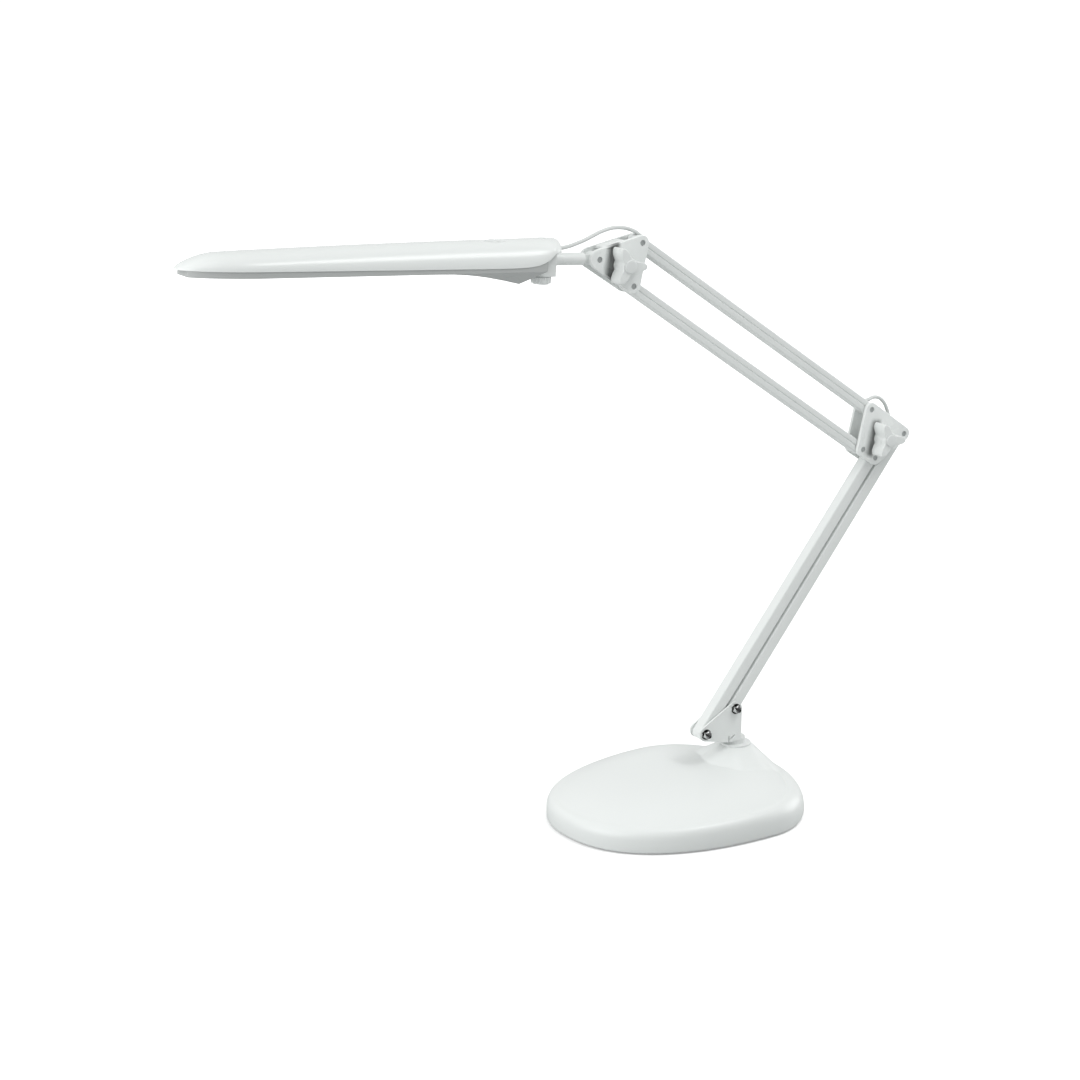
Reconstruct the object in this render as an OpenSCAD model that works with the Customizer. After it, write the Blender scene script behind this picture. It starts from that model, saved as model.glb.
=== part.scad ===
// Folding LED desk lamp: weighted egg base, swivel bracket, two parallel-bar arms,
// moulded elbow and head casings, tilting neck and a slim LED head.
// Frame: +Z up, origin on the swivel axis at the resting plane, arms in the XZ plane,
// head towards -X. All sizes in millimetres.

/* [Base] */
// Length of the base ahead of its widest line
base_front = 168; // [150:1:200]
// Length of the base behind its widest line
base_rear = 91; // [84:1:100]
// Half the width of the base
base_half_w = 110; // [95:1:130]
// Distance of the widest line ahead of the swivel axis
base_offset = 37; // [34:1:40]
// Turn of the base nose away from the arm plane
base_turn = 6; // [-20:1:20]
// Height of the rim's shoulder
base_rim_h = 27.5; // [24:0.5:30]
// Rise of the dome above the shoulder
base_dome = 12; // [8:0.5:14]
// Fall of the cover's top towards the nose, on each 100 mm
base_lean = 2.5; // [0:0.5:3]
// Wall of the base cover
base_wall = 2.5; // [2:0.1:3.5]
// Thickness of the iron weight
weight_h = 13; // [8:0.5:14]
// Thickness of the steel bottom plate
plate_t = 1.5; // [1:0.1:2.5]
// Height of the rubber feet under the plate
foot_h = 2; // [1.5:0.1:4]
// Radius of a rubber foot
foot_r = 8; // [6:0.5:10]

/* [Pedestal and swivel] */
// Height of the pedestal's top face
ped_h = 54; // [48:0.5:60]
// Radius of the pedestal at its top
ped_top_r = 16; // [15:0.5:19]
// Radius of the pedestal's round foot on its front side
ped_foot_r = 36; // [34:0.5:38]
// Radius of the spindle that turns in the bush
spindle_r = 8; // [7:0.25:9]
// Radius of the lead's passage through the spindle
spindle_bore_r = 4; // [3.5:0.25:5]
// Wall of the swivel bush
bush_wall = 2; // [1.5:0.25:2.5]
// Radius of the spindle's collar
collar_r = 9; // [8.75:0.25:9.5]
// Height of the spindle's collar
collar_h = 4; // [3:0.5:5]

/* [Bracket] */
// Sheet thickness of the bracket
bracket_t = 2; // [1.5:0.1:3]
// Radius of the bracket's ears
bracket_ear_r = 7.25; // [7:0.25:9]
// X of the lower pivot of the pair
pivot_x = -41; // [-44:0.5:-40]
// Z of the lower pivot of the pair
pivot_z = 72.5; // [71.5:0.5:76]

/* [Arms] */
// Length of each arm, pin to pin
arm_l = 320; // [280:5:360]
// Distance between the two pins of a pair
link_gap = 40; // [38:0.5:44]
// Slope of the lower pin pair
low_pair_angle = 31.5; // [29:0.5:33]
// Slope of the upper pin pair
up_pair_angle = 77; // [74:0.5:82]
// Lean of the lower arm from the floor
lower_angle = 53; // [52:0.5:65]
// Slope of the upper arm above level
upper_angle = 34; // [20:0.5:45]
// Width of a bar, across the arm plane's thickness
bar_d = 12.6; // [11.6:0.2:13]
// Height of a bar, in the arm plane
bar_w = 12; // [11:0.2:12.4]
// Wall of a bar
bar_wall = 1.2; // [0.8:0.1:1.6]
// How far a bar's rounded end stands past a half circle on its pin
bar_over = 1; // [0.8:0.1:1.8]
// Radius of a pivot pin
pin_r = 2.5; // [2.25:0.05:2.75]
// Length of the lead slots near the ends of a bar
slot_l = 32; // [30:1:36]

/* [Casings] */
// Thickness of the moulded side plates
side_t = 3.5; // [3:0.25:4.5]
// Radius of the ears round the arm pins
ear_r = 7; // [6.5:0.25:7.5]
// Radius of the ear round the tilt pin
tilt_ear_r = 9.5; // [9:0.25:11]
// X of the upper arm's lower pin ahead of the lower arm's front pin
elbow_dx = -15.5; // [-17:0.5:-15]
// Z of the upper arm's lower pin above the lower arm's front pin
elbow_dz = 10; // [9.5:0.5:12]
// X of the tilt pin from the upper arm's lower pin
tilt_dx = -36; // [-38:0.5:-34]
// Z of the tilt pin from the upper arm's lower pin
tilt_dz = 26.5; // [25:0.5:28]

/* [Wing knobs] */
// Reach of a wing knob's lobes
knob_r = 18.5; // [17:0.5:20]
// Depth of a wing knob
knob_h = 16; // [12:0.5:18]
// Radius of the clamp bolts
clamp_r = 3; // [2.5:0.1:3.2]

/* [Neck and head] */
// Lift of the head's nose from level
head_pitch = 3; // [0:0.5:10]
// Radius of the neck tube
neck_r = 5.75; // [5.25:0.25:6]
// Distance of the head's swivel axis from the head's origin
swivel_s = 52; // [51:0.5:52.5]
// Distance of the head's rear end from the head's origin
head_rear = 38.5; // [37.5:0.5:39]
// Distance of the head's nose from the head's origin
head_nose = 396; // [370:1:430]
// Half the width of the head
head_half_w = 29; // [27:0.5:32]
// Height of the shell's ridge near its rear
head_top = 18.8; // [17.5:0.1:21]
// Wall of the head's mouldings
head_wall = 1.8; // [1.4:0.1:2.2]
// Count of light emitting chips
chip_count = 24; // [12:1:30]

/* [Lead] */
// Diameter of the lead
lead_d = 3.8; // [3.2:0.1:4.2]

/* [Hidden] */
$fn = 48;

// Running clearance on a radius, and gap between parts that only lie close
fit = 0.05;
gap = 0.3;

// ---- heights in the base ----
cover_z = 1.2;
plate_z = foot_h;
plate_top = plate_z + plate_t;
plate_inset = base_wall + 0.8;
weight_inset = plate_inset + 7;
boss_r = 4.5;
screw_r = 1.75;
foot_ring = 0.8;
ped_low = base_rim_h - 2.5;
ped_flare = 10.4;
ped_well_r = 20;
shoulder = 9;
rim_more = 1.4;
rim_drop = 1.2;
flange_r = 15;

// ---- swivel heights ----
bush_r = spindle_r + bush_wall;
bush_low = 26;
bush_flange_h = 2;
collar_z = ped_h + bush_flange_h;
web_z = collar_z + collar_h;
washer_t = 1;
spindle_nut_h = 5;
spindle_low = 17;

// ---- depths across the arm plane ----
sleeve_h = 14;
side_in = sleeve_h / 2;
side_out = side_in + side_t;
pin_sink = 1;
sleeve_r = 4;
hub_h = 2;
dish_depth = 1.5;
knob_back = side_out + 0.5;
knob_front = knob_back + knob_h;

// ---- pin places, as [x, z] ----
low_step = link_gap * [cos(low_pair_angle), sin(low_pair_angle)];
up_step = link_gap * [cos(up_pair_angle), sin(up_pair_angle)];
low_run = arm_l * [cos(lower_angle), sin(lower_angle)];
up_run = arm_l * [-cos(upper_angle), sin(upper_angle)];
foot_front = [pivot_x, pivot_z];
foot_rear = foot_front + low_step;
elbow_a = foot_front + low_run;
elbow_b = foot_rear + low_run;
elbow_low = elbow_a + [elbow_dx, elbow_dz];
elbow_up = elbow_low + up_step;
head_low = elbow_low + up_run;
head_up = elbow_up + up_run;
tilt_at = head_low + [tilt_dx, tilt_dz];
head_step = 2;
head_at = tilt_at - [head_step, 0];
elbow_knob_at = elbow_a + [5.9, 19.4];
casing_knob_at = head_low + [-13.5, 20.5];

// ---- knobs and casings ----
dish_r = 12;
hub_r = 8;
cap_r = 6;
cap_h = 1.5;
roof_t = 2.5;

// ---- head, as distances from the head's origin and heights in its frame ----
clamp_low = -15;
clamp_knob_h = 7;
clamp_block_r = 7.5;
floor_h = 6.5;
floor_t = 2;
clamp_top = floor_h;
stern_s = 61;
tail_s = 56;
nose_l = 66;
brow_l = 36;
rim_h = -4.6;
keel_flat = -7.8;
keel_deep = -20.5;
window_near = 172;
window_far = head_nose - 30;
window_half = 22;
board_near = 168;
board_far = head_nose - 44;
board_half = 23.5;
board_t = 1.6;
board_low = -4.75;
spreader_half = 20;
spreader_t = 1.5;
driver_low = -13;
driver_near = 75;
driver_far = 111;
driver_half = 8.7;
keel_far = 168;
keel_crest = 80;
switch_s = 103;
switch_r = 7;
switch_out = 18.2;
lead_hole_h = 9.35;
head_screw_at = [[68, -14, -8], [68, 14, -8], [head_nose - 20, 0, -6.6]];

// ---- lead route points, chosen by hand ----
lead_base_pts = [
    [47.7, 5, 12], [41.8, 4.4, 12], [31, 3.2, 11], [20, 2, 9.5], [10, 1, 9], [3, 0, 10.5], [0.3, 0, 15], [0, 0, 22],
    [0, 0, 30]
];
lead_spindle_pts = [[0, 0, 30], [0, 0, 45], [0, 0, web_z - 2], [0, 0, web_z + 6]];
low_dir = [cos(lower_angle), 0, sin(lower_angle)];
up_dir = [-cos(upper_angle), 0, sin(upper_angle)];
gland_dir = [-cos(base_turn), -sin(base_turn), 0];
elbow_dir = [-0.3, 0, 0.954];
crown_dir = [-1, 0, 0];
neck_dir = [-0.958, 0, -0.287];
function near(p, offsets) = [for (q = offsets) [p[0] + q[0], 0, p[1] + q[1]]];
lead_foot_pts = concat([[0, 0, web_z + 6]], near(foot_rear, [
    [6.3, -19.4], [6.1, -11.4], [6.6, -4.4], [8.3, 2.1], [10.9, 8.1], [14.9, 15.2], [19.9, 24.6]
]));
lead_low_pts = concat(near(foot_rear, [[19.9, 24.6], [22.9, 30.2]]), near(elbow_b, [[-19.7, -26.6], [-16.7, -22.4]]));
lead_elbow_in_pts = near(elbow_b, [[-16.7, -22.4], [-13.7, -15.5], [-10.1, -8], [-8.1, -1], [-8.4, 6], [-10.2, 12]]);
lead_elbow_out_pts = concat(near(elbow_b, [[-10.2, 12]]), near(elbow_up, [
    [28.4, -10], [25.7, -2.5], [21.4, 4.5], [15.4, 9], [8.5, 10], [1.9, 7.9], [-4.9, 8.4], [-12.6, 11.4], [-23.1, 16.3]
]));
lead_up_pts = concat(near(elbow_up, [[-23.1, 16.3], [-28.1, 19.7]]), near(head_up, [[28.2, -18.4], [23.2, -15]]));
lead_crown_pts = near(head_up, [
    [23.2, -15], [14.7, -7.2], [9.6, -1.4], [4.6, 4.4], [-1.8, 9.2], [-9.8, 12.4], [-16.8, 13.8], [-23.3, 14.1]
]);
lead_neck_pts = concat(near(head_up, [[-23.3, 14.1]]), near(head_at, [
    [17.2, 25.9], [9.2, 23.9], [1.2, 20.9], [-6.8, 17.7], [-13.8, 15.4]
]));
lead_rear_pts = near(head_at, [[-13.8, 15.4], [-20.8, 13.4], [-27.8, 12], [-35.4, 11.3], [-40.8, 11.3]]);

// ---------------------------------------------------------------- helpers

// Lays a shape drawn in XY on the XZ plane, standing from y towards -Y
module on_arm_plane(y) {
    translate([0, y, 0]) rotate([90, 0, 0]) children();
}

// A pin or tube along Y at p = [x, z], between y0 and y1
module y_rod(p, r, y0, y1) {
    translate([p[0], y1, p[1]]) rotate([90, 0, 0]) cylinder(r = r, h = y1 - y0);
}

// Convex plate with round corners of radius r at points of [x, y]
module ear_plate(points, radii, t) {
    linear_extrude(t) polygon(ear_outline(points, radii));
    for (i = [0 : len(points) - 1]) translate([points[i][0], points[i][1], 0]) cylinder(r = radii[i], h = t);
}

// Tangent points between neighbouring ears, for points listed anticlockwise
function ear_edge(p, q, rp, rq) =
    let (d = norm(q - p), a = atan2(q[1] - p[1], q[0] - p[0]), b = a - 90 + asin((rp - rq) / d))
    [p + rp * [cos(b), sin(b)], q + rq * [cos(b), sin(b)]];
function ear_outline(points, radii) =
    let (n = len(points))
    [for (i = [0 : n - 1]) let (j = (i + 1) % n) each ear_edge(points[i], points[j], radii[i], radii[j])];

// Ring of the egg outline, drawn in by inset, as [x, y]
egg_front_n = 2.33;
egg_rear_n = 1.82;
function egg_at(a, inset) =
    let (c = cos(a), s = sin(a), n = c > 0 ? egg_front_n : egg_rear_n, l = c > 0 ? base_front : base_rear,
        x = l * sign(c) * pow(abs(c), 2 / n), y = base_half_w * sign(s) * pow(abs(s), 2 / n),
        k = norm([x, y]))
    [x, y] * (k - inset) / k;
function egg_ring(inset, n = 48) = [for (i = [0 : n - 1]) egg_at(-360 * i / n, inset)];

// How far the rim's rounding has grown, from 0 at the nose to 1 at the rear, towards the point p
function rim_grow(p) = let (t = max(0, min(1, (abs(atan2(p[1], p[0])) - 70) / 75))) t * t * (3 - 2 * t);

// Height of the cover's skin over the point p of the egg's own frame: dome, or rim's rounding outside it
function skin_z(p) =
    let (n = p[0] > 0 ? egg_front_n : egg_rear_n, l = p[0] > 0 ? base_front : base_rear,
        reach = norm(p) / pow(pow(abs(p[0]) / l, n) + pow(abs(p[1]) / base_half_w, n), 1 / n),
        g = rim_grow(p), edge = shoulder * (1 + rim_more * g), f = norm(p) / (reach - edge))
    f < 1 ? shoulder_z(p) + base_dome * (1 - pow(f, dome_n))
        : shoulder_z(p) - 11 * (1 + rim_drop * g) * lookup((reach - norm(p)) / edge,
            [[0, 1], [0.06, 0.73], [0.2, 0.45], [0.51, 0.2], [1, 0]]);
function shoulder_z(p) = base_rim_h - base_lean * p[0] / 100;
dome_n = 4.5;

// Moves the egg to its place under the swivel
module at_base() {
    rotate([0, 0, 180 + base_turn]) translate([base_offset, 0, 0]) children();
}

// Closed skin through rings of equal point count, each clockwise as seen from the next ring
module loft(rings) {
    m = len(rings[0]);
    n = len(rings);
    points = [for (r = rings) each r];
    sides = [
        for (k = [0 : n - 2]) for (i = [0 : m - 1]) let (j = (i + 1) % m, a = k * m + i, b = k * m + j)
        each [[a, b, a + m], [b, b + m, a + m]]
    ];
    low = [[for (i = [0 : m - 1]) m - 1 - i]];
    high = [[for (i = [0 : m - 1]) (n - 1) * m + i]];
    polyhedron(points, concat(low, sides, high), convexity = 6);
}

// Points of a smooth path through the given ones
function spline_at(p0, p1, p2, p3, t) =
    0.5 * (2 * p1 + (p2 - p0) * t + (2 * p0 - 5 * p1 + 4 * p2 - p3) * t * t + (3 * p1 - p0 - 3 * p2 + p3) * t * t * t);
function smooth(pts, steps, d0, d1) =
    let (n = len(pts))
    concat([for (i = [0 : n - 2]) let (
        p0 = i > 0 ? pts[i - 1] : pts[1] - 2 * norm(pts[1] - pts[0]) * d0,
        p3 = i < n - 2 ? pts[i + 2] : pts[n - 2] + 2 * norm(pts[n - 1] - pts[n - 2]) * d1)
        for (k = [0 : steps - 1]) spline_at(p0, pts[i], pts[i + 1], p3, k / steps)], [pts[n - 1]]);

// Round tube swept along a path near the XZ plane, its end faces square to d0 and d1
module lead_tube(path, d0, d1) {
    n = len(path);
    sides = 8;
    rings = [for (i = [0 : n - 1])
        let (a = path[max(i - 1, 0)], b = path[min(i + 1, n - 1)],
            t = i == 0 ? d0 : i == n - 1 ? d1 : (b - a) / norm(b - a), u = cross(t, [0, 1, 0]), v = u / norm(u), w = cross(v, t))
        [for (k = [0 : sides - 1]) path[i] + lead_d / 2 * (cos(360 * k / sides) * v + sin(360 * k / sides) * w)]];
    loft(rings);
}

module lead(pts, d0, d1) {
    color("whitesmoke") lead_tube(smooth(pts, 2, d0, d1), d0, d1);
}

// ---------------------------------------------------------------- base

// Inset and drop of the cover's rim below its shoulder, where the dome begins
rim_steps = [[0, 11], [0.5, 8], [1.8, 5], [4.6, 2.2], [shoulder, 0]];
dome_steps = [0.96, 0.91, 0.84, 0.74, 0.6, 0.42, 0.2];

// Point of the rim at the egg's angle a, inside the wall by w, one step up the rounding
function rim_point(a, q, w) =
    let (g = rim_grow(egg_at(a, 0)), p = egg_at(a, w + q[0] * (1 + rim_more * g)))
    [p[0], p[1], shoulder_z(p) - w - q[1] * (1 - 0.2 * w / base_wall) * (1 + rim_drop * g)];

module cover_skin(w) {
    loft(concat(
        [for (q = [[1.2, w > 0 ? 0.2 : cover_z], [0, cover_z + 3]])
            [for (i = [0 : 47]) let (p = egg_at(-7.5 * i, w + q[0])) [p[0], p[1], q[1]]]],
        [for (q = rim_steps) [for (i = [0 : 47]) rim_point(-7.5 * i, q, w)]],
        [for (k = dome_steps) [for (i = [0 : 47])
            let (p = rim_point(-7.5 * i, [shoulder, 0], w) * k)
            [p[0], p[1], shoulder_z(p) - w + base_dome * (1 - pow(k, dome_n))]]]
    ));
}

boss_angles = [35, 145, 215, 325];
function boss_at(a) = egg_at(a, 26);

module bosses(r, z0, z1) {
    for (a = boss_angles) translate([boss_at(a)[0], boss_at(a)[1], z0]) cylinder(r = r, h = z1 - z0);
}

// Reach of the pedestal's foot at the angle a from the nose: round in front, flared at the rear
function ped_reach(a) = let (k = max(0, min(1, (abs(a) - 33) / 32))) ped_foot_r + ped_flare * k * k * (3 - 2 * k);

// Ring of the pedestal at t of the way from its foot, on the dome, to its top
function pedestal_ring(t) = [
    for (a = [171 : -9 : -180])
        let (d = [cos(a), sin(a)], f = ped_reach(a), zf = skin_z([f * d[0] - base_offset, f * d[1]]) - 2,
            r = f + (ped_top_r - f) * t - (t > 0.99 ? 1.2 : 0))
        [r * d[0], r * d[1], zf + (ped_h - zf) * t]
];

module base_cover() {
    color("whitesmoke") difference() {
        union() {
            at_base() difference() {
                cover_skin(0);
                cover_skin(base_wall);
            }
            at_base() bosses(boss_r, plate_top, base_rim_h + 0.7);
            rotate([0, 0, 180 + base_turn]) loft(concat(
                [[for (p = pedestal_ring(1)) [p[0] * 2, p[1] * 2, ped_low]]],
                [for (t = [0, 0.5, 0.94, 1]) pedestal_ring(t)]
            ));
        }
        translate([0, 0, -1]) cylinder(r = bush_r + fit, h = ped_h + 2);
        translate([0, 0, -1]) cylinder(r = ped_well_r - 1, h = bush_low + 1);
        at_base() bosses(screw_r - 0.3, 0, plate_top + 12);
        // gland hole through the rear wall
        gland_axis() cylinder(r = 5 + fit, h = 40);
    }
}

module gland_axis() {
    rotate([0, 0, base_turn]) translate([base_rear - base_offset - 12, 0, 12]) rotate([0, 90, 0]) children();
}

module base_weight() {
    color("dimgray") difference() {
        at_base() translate([0, 0, plate_top]) linear_extrude(weight_h) polygon(egg_ring(weight_inset));
        translate([0, 0, -1]) cylinder(r = ped_well_r + 1, h = 40);
        at_base() bosses(boss_r + 1, 0, 40);
        rotate([0, 0, base_turn]) translate([0, -8, plate_top + 3]) cube([70, 16, 40]);
    }
}

module base_plate() {
    color("silver") difference() {
        at_base() translate([0, 0, plate_z]) linear_extrude(plate_t) polygon(egg_ring(plate_inset));
        at_base() bosses(screw_r + 0.1, 0, 40);
    }
}

// Six feet round the rim and one under the swivel
module base_feet() {
    around = [for (a = [20, 90, 160, 200, 270, 340]) egg_at(a, 16)];
    color("dimgray") at_base() for (p = concat(around, [[-base_offset, 0]]))
        translate([p[0], p[1], 0]) {
            cylinder(r1 = foot_r - foot_ring, r2 = foot_r, h = 0.8);
            translate([0, 0, 0.8]) cylinder(r = foot_r, h = foot_h - 0.8);
        }
}

module base_screws() {
    color("silver") at_base() for (a = boss_angles) translate([boss_at(a)[0], boss_at(a)[1], plate_z - 1.2])
        difference() {
            union() {
                cylinder(r = 3.4, h = 1.2);
                cylinder(r = screw_r - 0.35, h = 12);
            }
            translate([-2.2, -0.4, -1]) cube([4.4, 0.8, 1.6]);
            translate([-0.4, -2.2, -1]) cube([0.8, 4.4, 1.6]);
        }
}

module swivel_bush() {
    color("gainsboro") difference() {
        union() {
            translate([0, 0, bush_low]) cylinder(r = bush_r, h = ped_h - bush_low);
            translate([0, 0, ped_h]) cylinder(r = flange_r, h = bush_flange_h);
        }
        translate([0, 0, bush_low - 1]) cylinder(r = spindle_r + fit, h = ped_h);
    }
}

module lead_gland() {
    color("gainsboro") difference() {
        gland_axis() union() {
            cylinder(r = 5, h = 16);
            translate([0, 0, 4]) cylinder(r = 6, h = 1.2);
        }
        gland_axis() translate([0, 0, -1]) cylinder(r = lead_d / 2 + fit, h = 40);
    }
}

module lead_base() {
    lead(lead_base_pts, gland_dir, [0, 0, 1]);
}

// ---------------------------------------------------------------- swivel

module swivel_spindle() {
    color("silver") difference() {
        union() {
            translate([0, 0, spindle_low]) cylinder(r = spindle_r, h = collar_z - spindle_low + 1);
            translate([0, 0, collar_z]) cylinder(r = collar_r, h = collar_h);
        }
        cylinder(r = spindle_bore_r, h = 80);
    }
}

module spindle_washer() {
    color("silver") difference() {
        translate([0, 0, bush_low - washer_t]) cylinder(r = 13, h = washer_t);
        cylinder(r = spindle_r + fit, h = 40);
    }
}

module spindle_nut() {
    color("silver") difference() {
        translate([0, 0, bush_low - washer_t - spindle_nut_h]) cylinder(r = 13.5, h = spindle_nut_h, $fn = 6);
        cylinder(r = spindle_r + fit, h = 40);
    }
}

bracket_in = side_in + 0.2;
bracket_out = bracket_in + bracket_t;

module swivel_bracket() {
    corner = 3;
    right = foot_rear[0] + bracket_ear_r - corner;
    color("whitesmoke") difference() {
        union() {
            for (y = [-bracket_in, bracket_out]) on_arm_plane(y)
                ear_plate([foot_front, [-16, web_z + corner], [right, web_z + corner], foot_rear],
                    [bracket_ear_r, corner, corner, bracket_ear_r], bracket_t);
            translate([-16, -bracket_out, web_z]) cube([right + corner + 16, 2 * bracket_out, bracket_t]);
            translate([0, 0, web_z]) cylinder(r = bracket_out, h = bracket_t);
        }
        for (p = [foot_front, foot_rear]) y_rod(p, pin_r + fit, -20, 20);
        translate([0, 0, web_z - 1]) cylinder(r = spindle_bore_r, h = 10);
        // bend reliefs in the front plate
        translate([-14.8, -bracket_out - 1, web_z - 1]) cube([1.7, bracket_t + 1, 7.2]);
        on_arm_plane(-bracket_in) translate([-11.7, web_z + 2.6, 0]) rotate([0, 0, 36]) cube([5.6, 1.3, bracket_t + 1]);
    }
}

bolt_nut_h = 4;

module lower_bolts() {
    color("silver") for (p = [foot_front, foot_rear]) {
        y_rod(p, pin_r, -bracket_out - washer_t - bolt_nut_h - 1, bracket_out + 1);
        y_rod(p, 4.4, bracket_out, bracket_out + 3);
    }
}

module lower_washers() {
    color("silver") for (p = [foot_front, foot_rear]) difference() {
        y_rod(p, 5.2, -bracket_out - washer_t, -bracket_out);
        y_rod(p, pin_r + fit, -30, 30);
    }
}

module lower_nuts() {
    color("silver") for (p = [foot_front, foot_rear]) difference() {
        translate([p[0], -bracket_out - washer_t, p[1]]) rotate([90, 20, 0])
            cylinder(r = 4.6, h = bolt_nut_h, $fn = 6);
        y_rod(p, pin_r + fit, -30, 30);
    }
}

module lead_foot() {
    bend = smooth(lead_foot_pts, 2, [0, 0, 1], low_dir);
    path = concat(lead_spindle_pts, [for (i = [1 : len(bend) - 1]) bend[i]]);
    color("whitesmoke") lead_tube(path, [0, 0, 1], low_dir);
}

// ---------------------------------------------------------------- bars

// Round-ended solid along x from pin to pin, drawn in XY
module stadium(l, r, over, t) {
    translate([-over, -r, 0]) cube([l + 2 * over, 2 * r, t]);
    for (x = [-over, l + over]) translate([x, 0, 0]) cylinder(r = r, h = t);
}

// Square tube from pin p to pin p + run, slotted near its ends through one wall or both
module bar(p, run, through) {
    a = atan2(run[1], run[0]);
    slot_w = lead_d + 1.4;
    on_arm_plane(bar_d / 2) translate([p[0], p[1], 0]) rotate([0, 0, a]) difference() {
        stadium(arm_l, bar_w / 2, bar_over, bar_d);
        translate([0, 0, bar_wall]) stadium(arm_l, bar_w / 2 - bar_wall, bar_over, bar_d - 2 * bar_wall);
        for (x = [0, arm_l]) translate([x, 0, -1]) cylinder(r = sleeve_r + fit, h = bar_d + 2);
        for (x = [-6, arm_l + 6 - slot_l]) translate([x, -bar_w, (bar_d - slot_w) / 2])
            cube([slot_l, through ? 2 * bar_w : bar_w, slot_w]);
    }
}

module sleeves(p, run) {
    for (q = [p, p + run]) difference() {
        y_rod(q, sleeve_r, -sleeve_h / 2, sleeve_h / 2);
        y_rod(q, pin_r + fit, -sleeve_h, sleeve_h);
    }
}

module lower_bar_front() {
    color("whitesmoke") bar(foot_front, low_run, false);
}
module lower_front_sleeves() {
    color("gainsboro") sleeves(foot_front, low_run);
}
module lower_bar_rear() {
    color("whitesmoke") bar(foot_rear, low_run, true);
}
module lower_rear_sleeves() {
    color("gainsboro") sleeves(foot_rear, low_run);
}
module upper_bar_top() {
    color("whitesmoke") bar(elbow_up, up_run, true);
}
module upper_top_sleeves() {
    color("gainsboro") sleeves(elbow_up, up_run);
}
module upper_bar_bottom() {
    color("whitesmoke") bar(elbow_low, up_run, false);
}
module upper_bottom_sleeves() {
    color("gainsboro") sleeves(elbow_low, up_run);
}

module lead_lower() {
    color("whitesmoke") lead_tube(lead_low_pts, low_dir, low_dir);
}

module lead_upper() {
    color("whitesmoke") lead_tube(lead_up_pts, up_dir, up_dir);
}

// ---------------------------------------------------------------- casings

// One side plate between y and y - side_t, with holes for the pins and the clamp bolt
module side_plate(y, points, radii, clamp_at) {
    difference() {
        on_arm_plane(y) ear_plate(points, radii, side_t);
        for (p = points) y_rod(p, pin_r + fit, -30, 30);
        y_rod(clamp_at, clamp_r + fit, -30, 30);
    }
}

// Shallow round seat for a knob's hub in the front face
module knob_dish(at) {
    y_rod(at, dish_r, -side_out - 1, -side_out + dish_depth);
}

// Tube round the clamp bolt that keeps the two plates apart
module clamp_boss(at) {
    difference() {
        y_rod(at, clamp_r + 2.5, -side_in, side_in);
        y_rod(at, clamp_r + fit, -30, 30);
    }
}

elbow_points = [elbow_a, elbow_b, elbow_up, elbow_low];
elbow_radii = [ear_r, ear_r, ear_r, ear_r];
casing_points = [head_low, head_up, tilt_at];
casing_radii = [ear_r, ear_r, tilt_ear_r];

module elbow_front_plate() {
    color("whitesmoke") difference() {
        side_plate(-side_in, elbow_points, elbow_radii, elbow_knob_at);
        knob_dish(elbow_knob_at);
    }
}

module elbow_rear_plate() {
    color("whitesmoke") {
        side_plate(side_out, elbow_points, elbow_radii, elbow_knob_at);
        clamp_boss(elbow_knob_at);
    }
}

module pins(points) {
    color("silver") for (p = points) y_rod(p, pin_r, -side_out + pin_sink, side_out - pin_sink);
}

module elbow_pins() {
    pins(elbow_points);
}

// Clamp bolt with a hexagon head on the rear plate
module clamp_bolt(at) {
    color("silver") {
        y_rod(at, clamp_r, -knob_front + 2, side_out + 1);
        translate([at[0], side_out + 4, at[1]]) rotate([90, 0, 0]) cylinder(r = 5.8, h = 4, $fn = 6);
    }
}

module elbow_bolt() {
    clamp_bolt(elbow_knob_at);
}

module lead_elbow_in() {
    lead(lead_elbow_in_pts, low_dir, elbow_dir);
}
module lead_elbow_out() {
    lead(lead_elbow_out_pts, elbow_dir, up_dir);
}

// Outline of a three-lobed wing knob
function lobe_outline(r) = [for (a = [0 : 4 : 356])
    r * (0.42 + 0.58 * pow((1 + cos(3 * (a + 4))) / 2, 2.8)) * [cos(a), sin(a)]];

module wing_knob(at) {
    color("whitesmoke") difference() {
        union() {
            on_arm_plane(-knob_back) translate([at[0], at[1], 0])
                linear_extrude(knob_h) polygon(lobe_outline(knob_r));
            y_rod(at, hub_r, -knob_back - 1, -side_out + dish_depth);
        }
        y_rod(at, clamp_r + fit, -knob_front + 2, 0);
    }
}

// Round badge-free cap pressed on the middle of a wing knob
module knob_cap(at) {
    color("gainsboro") y_rod(at, cap_r, -knob_front - cap_h, -knob_front);
}

module elbow_knob() {
    wing_knob(elbow_knob_at);
}
module elbow_knob_cap() {
    knob_cap(elbow_knob_at);
}
module casing_knob() {
    wing_knob(casing_knob_at);
}
module casing_knob_cap() {
    knob_cap(casing_knob_at);
}

module casing_front_plate() {
    color("whitesmoke") difference() {
        side_plate(-side_in, casing_points, casing_radii, casing_knob_at);
        knob_dish(casing_knob_at);
    }
}

// Rear plate with the wall that closes the casing's top
module casing_rear_plate() {
    edge = ear_edge(casing_points[1], casing_points[2], ear_r, tilt_ear_r);
    slope = atan2(edge[0][1] - edge[1][1], edge[0][0] - edge[1][0]);
    run = norm(edge[0] - edge[1]);
    color("whitesmoke") {
        side_plate(side_out, casing_points, casing_radii, casing_knob_at);
        clamp_boss(casing_knob_at);
        on_arm_plane(side_in) translate([edge[1][0], edge[1][1], 0]) rotate([0, 0, slope])
            translate([run * 0.15, -roof_t, 0]) cube([run * 0.5, roof_t, 2 * side_in]);
    }
}

module casing_pins() {
    pins([head_low, head_up]);
}

module tilt_pin() {
    pins([tilt_at]);
}

module casing_bolt() {
    clamp_bolt(casing_knob_at);
}

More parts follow.
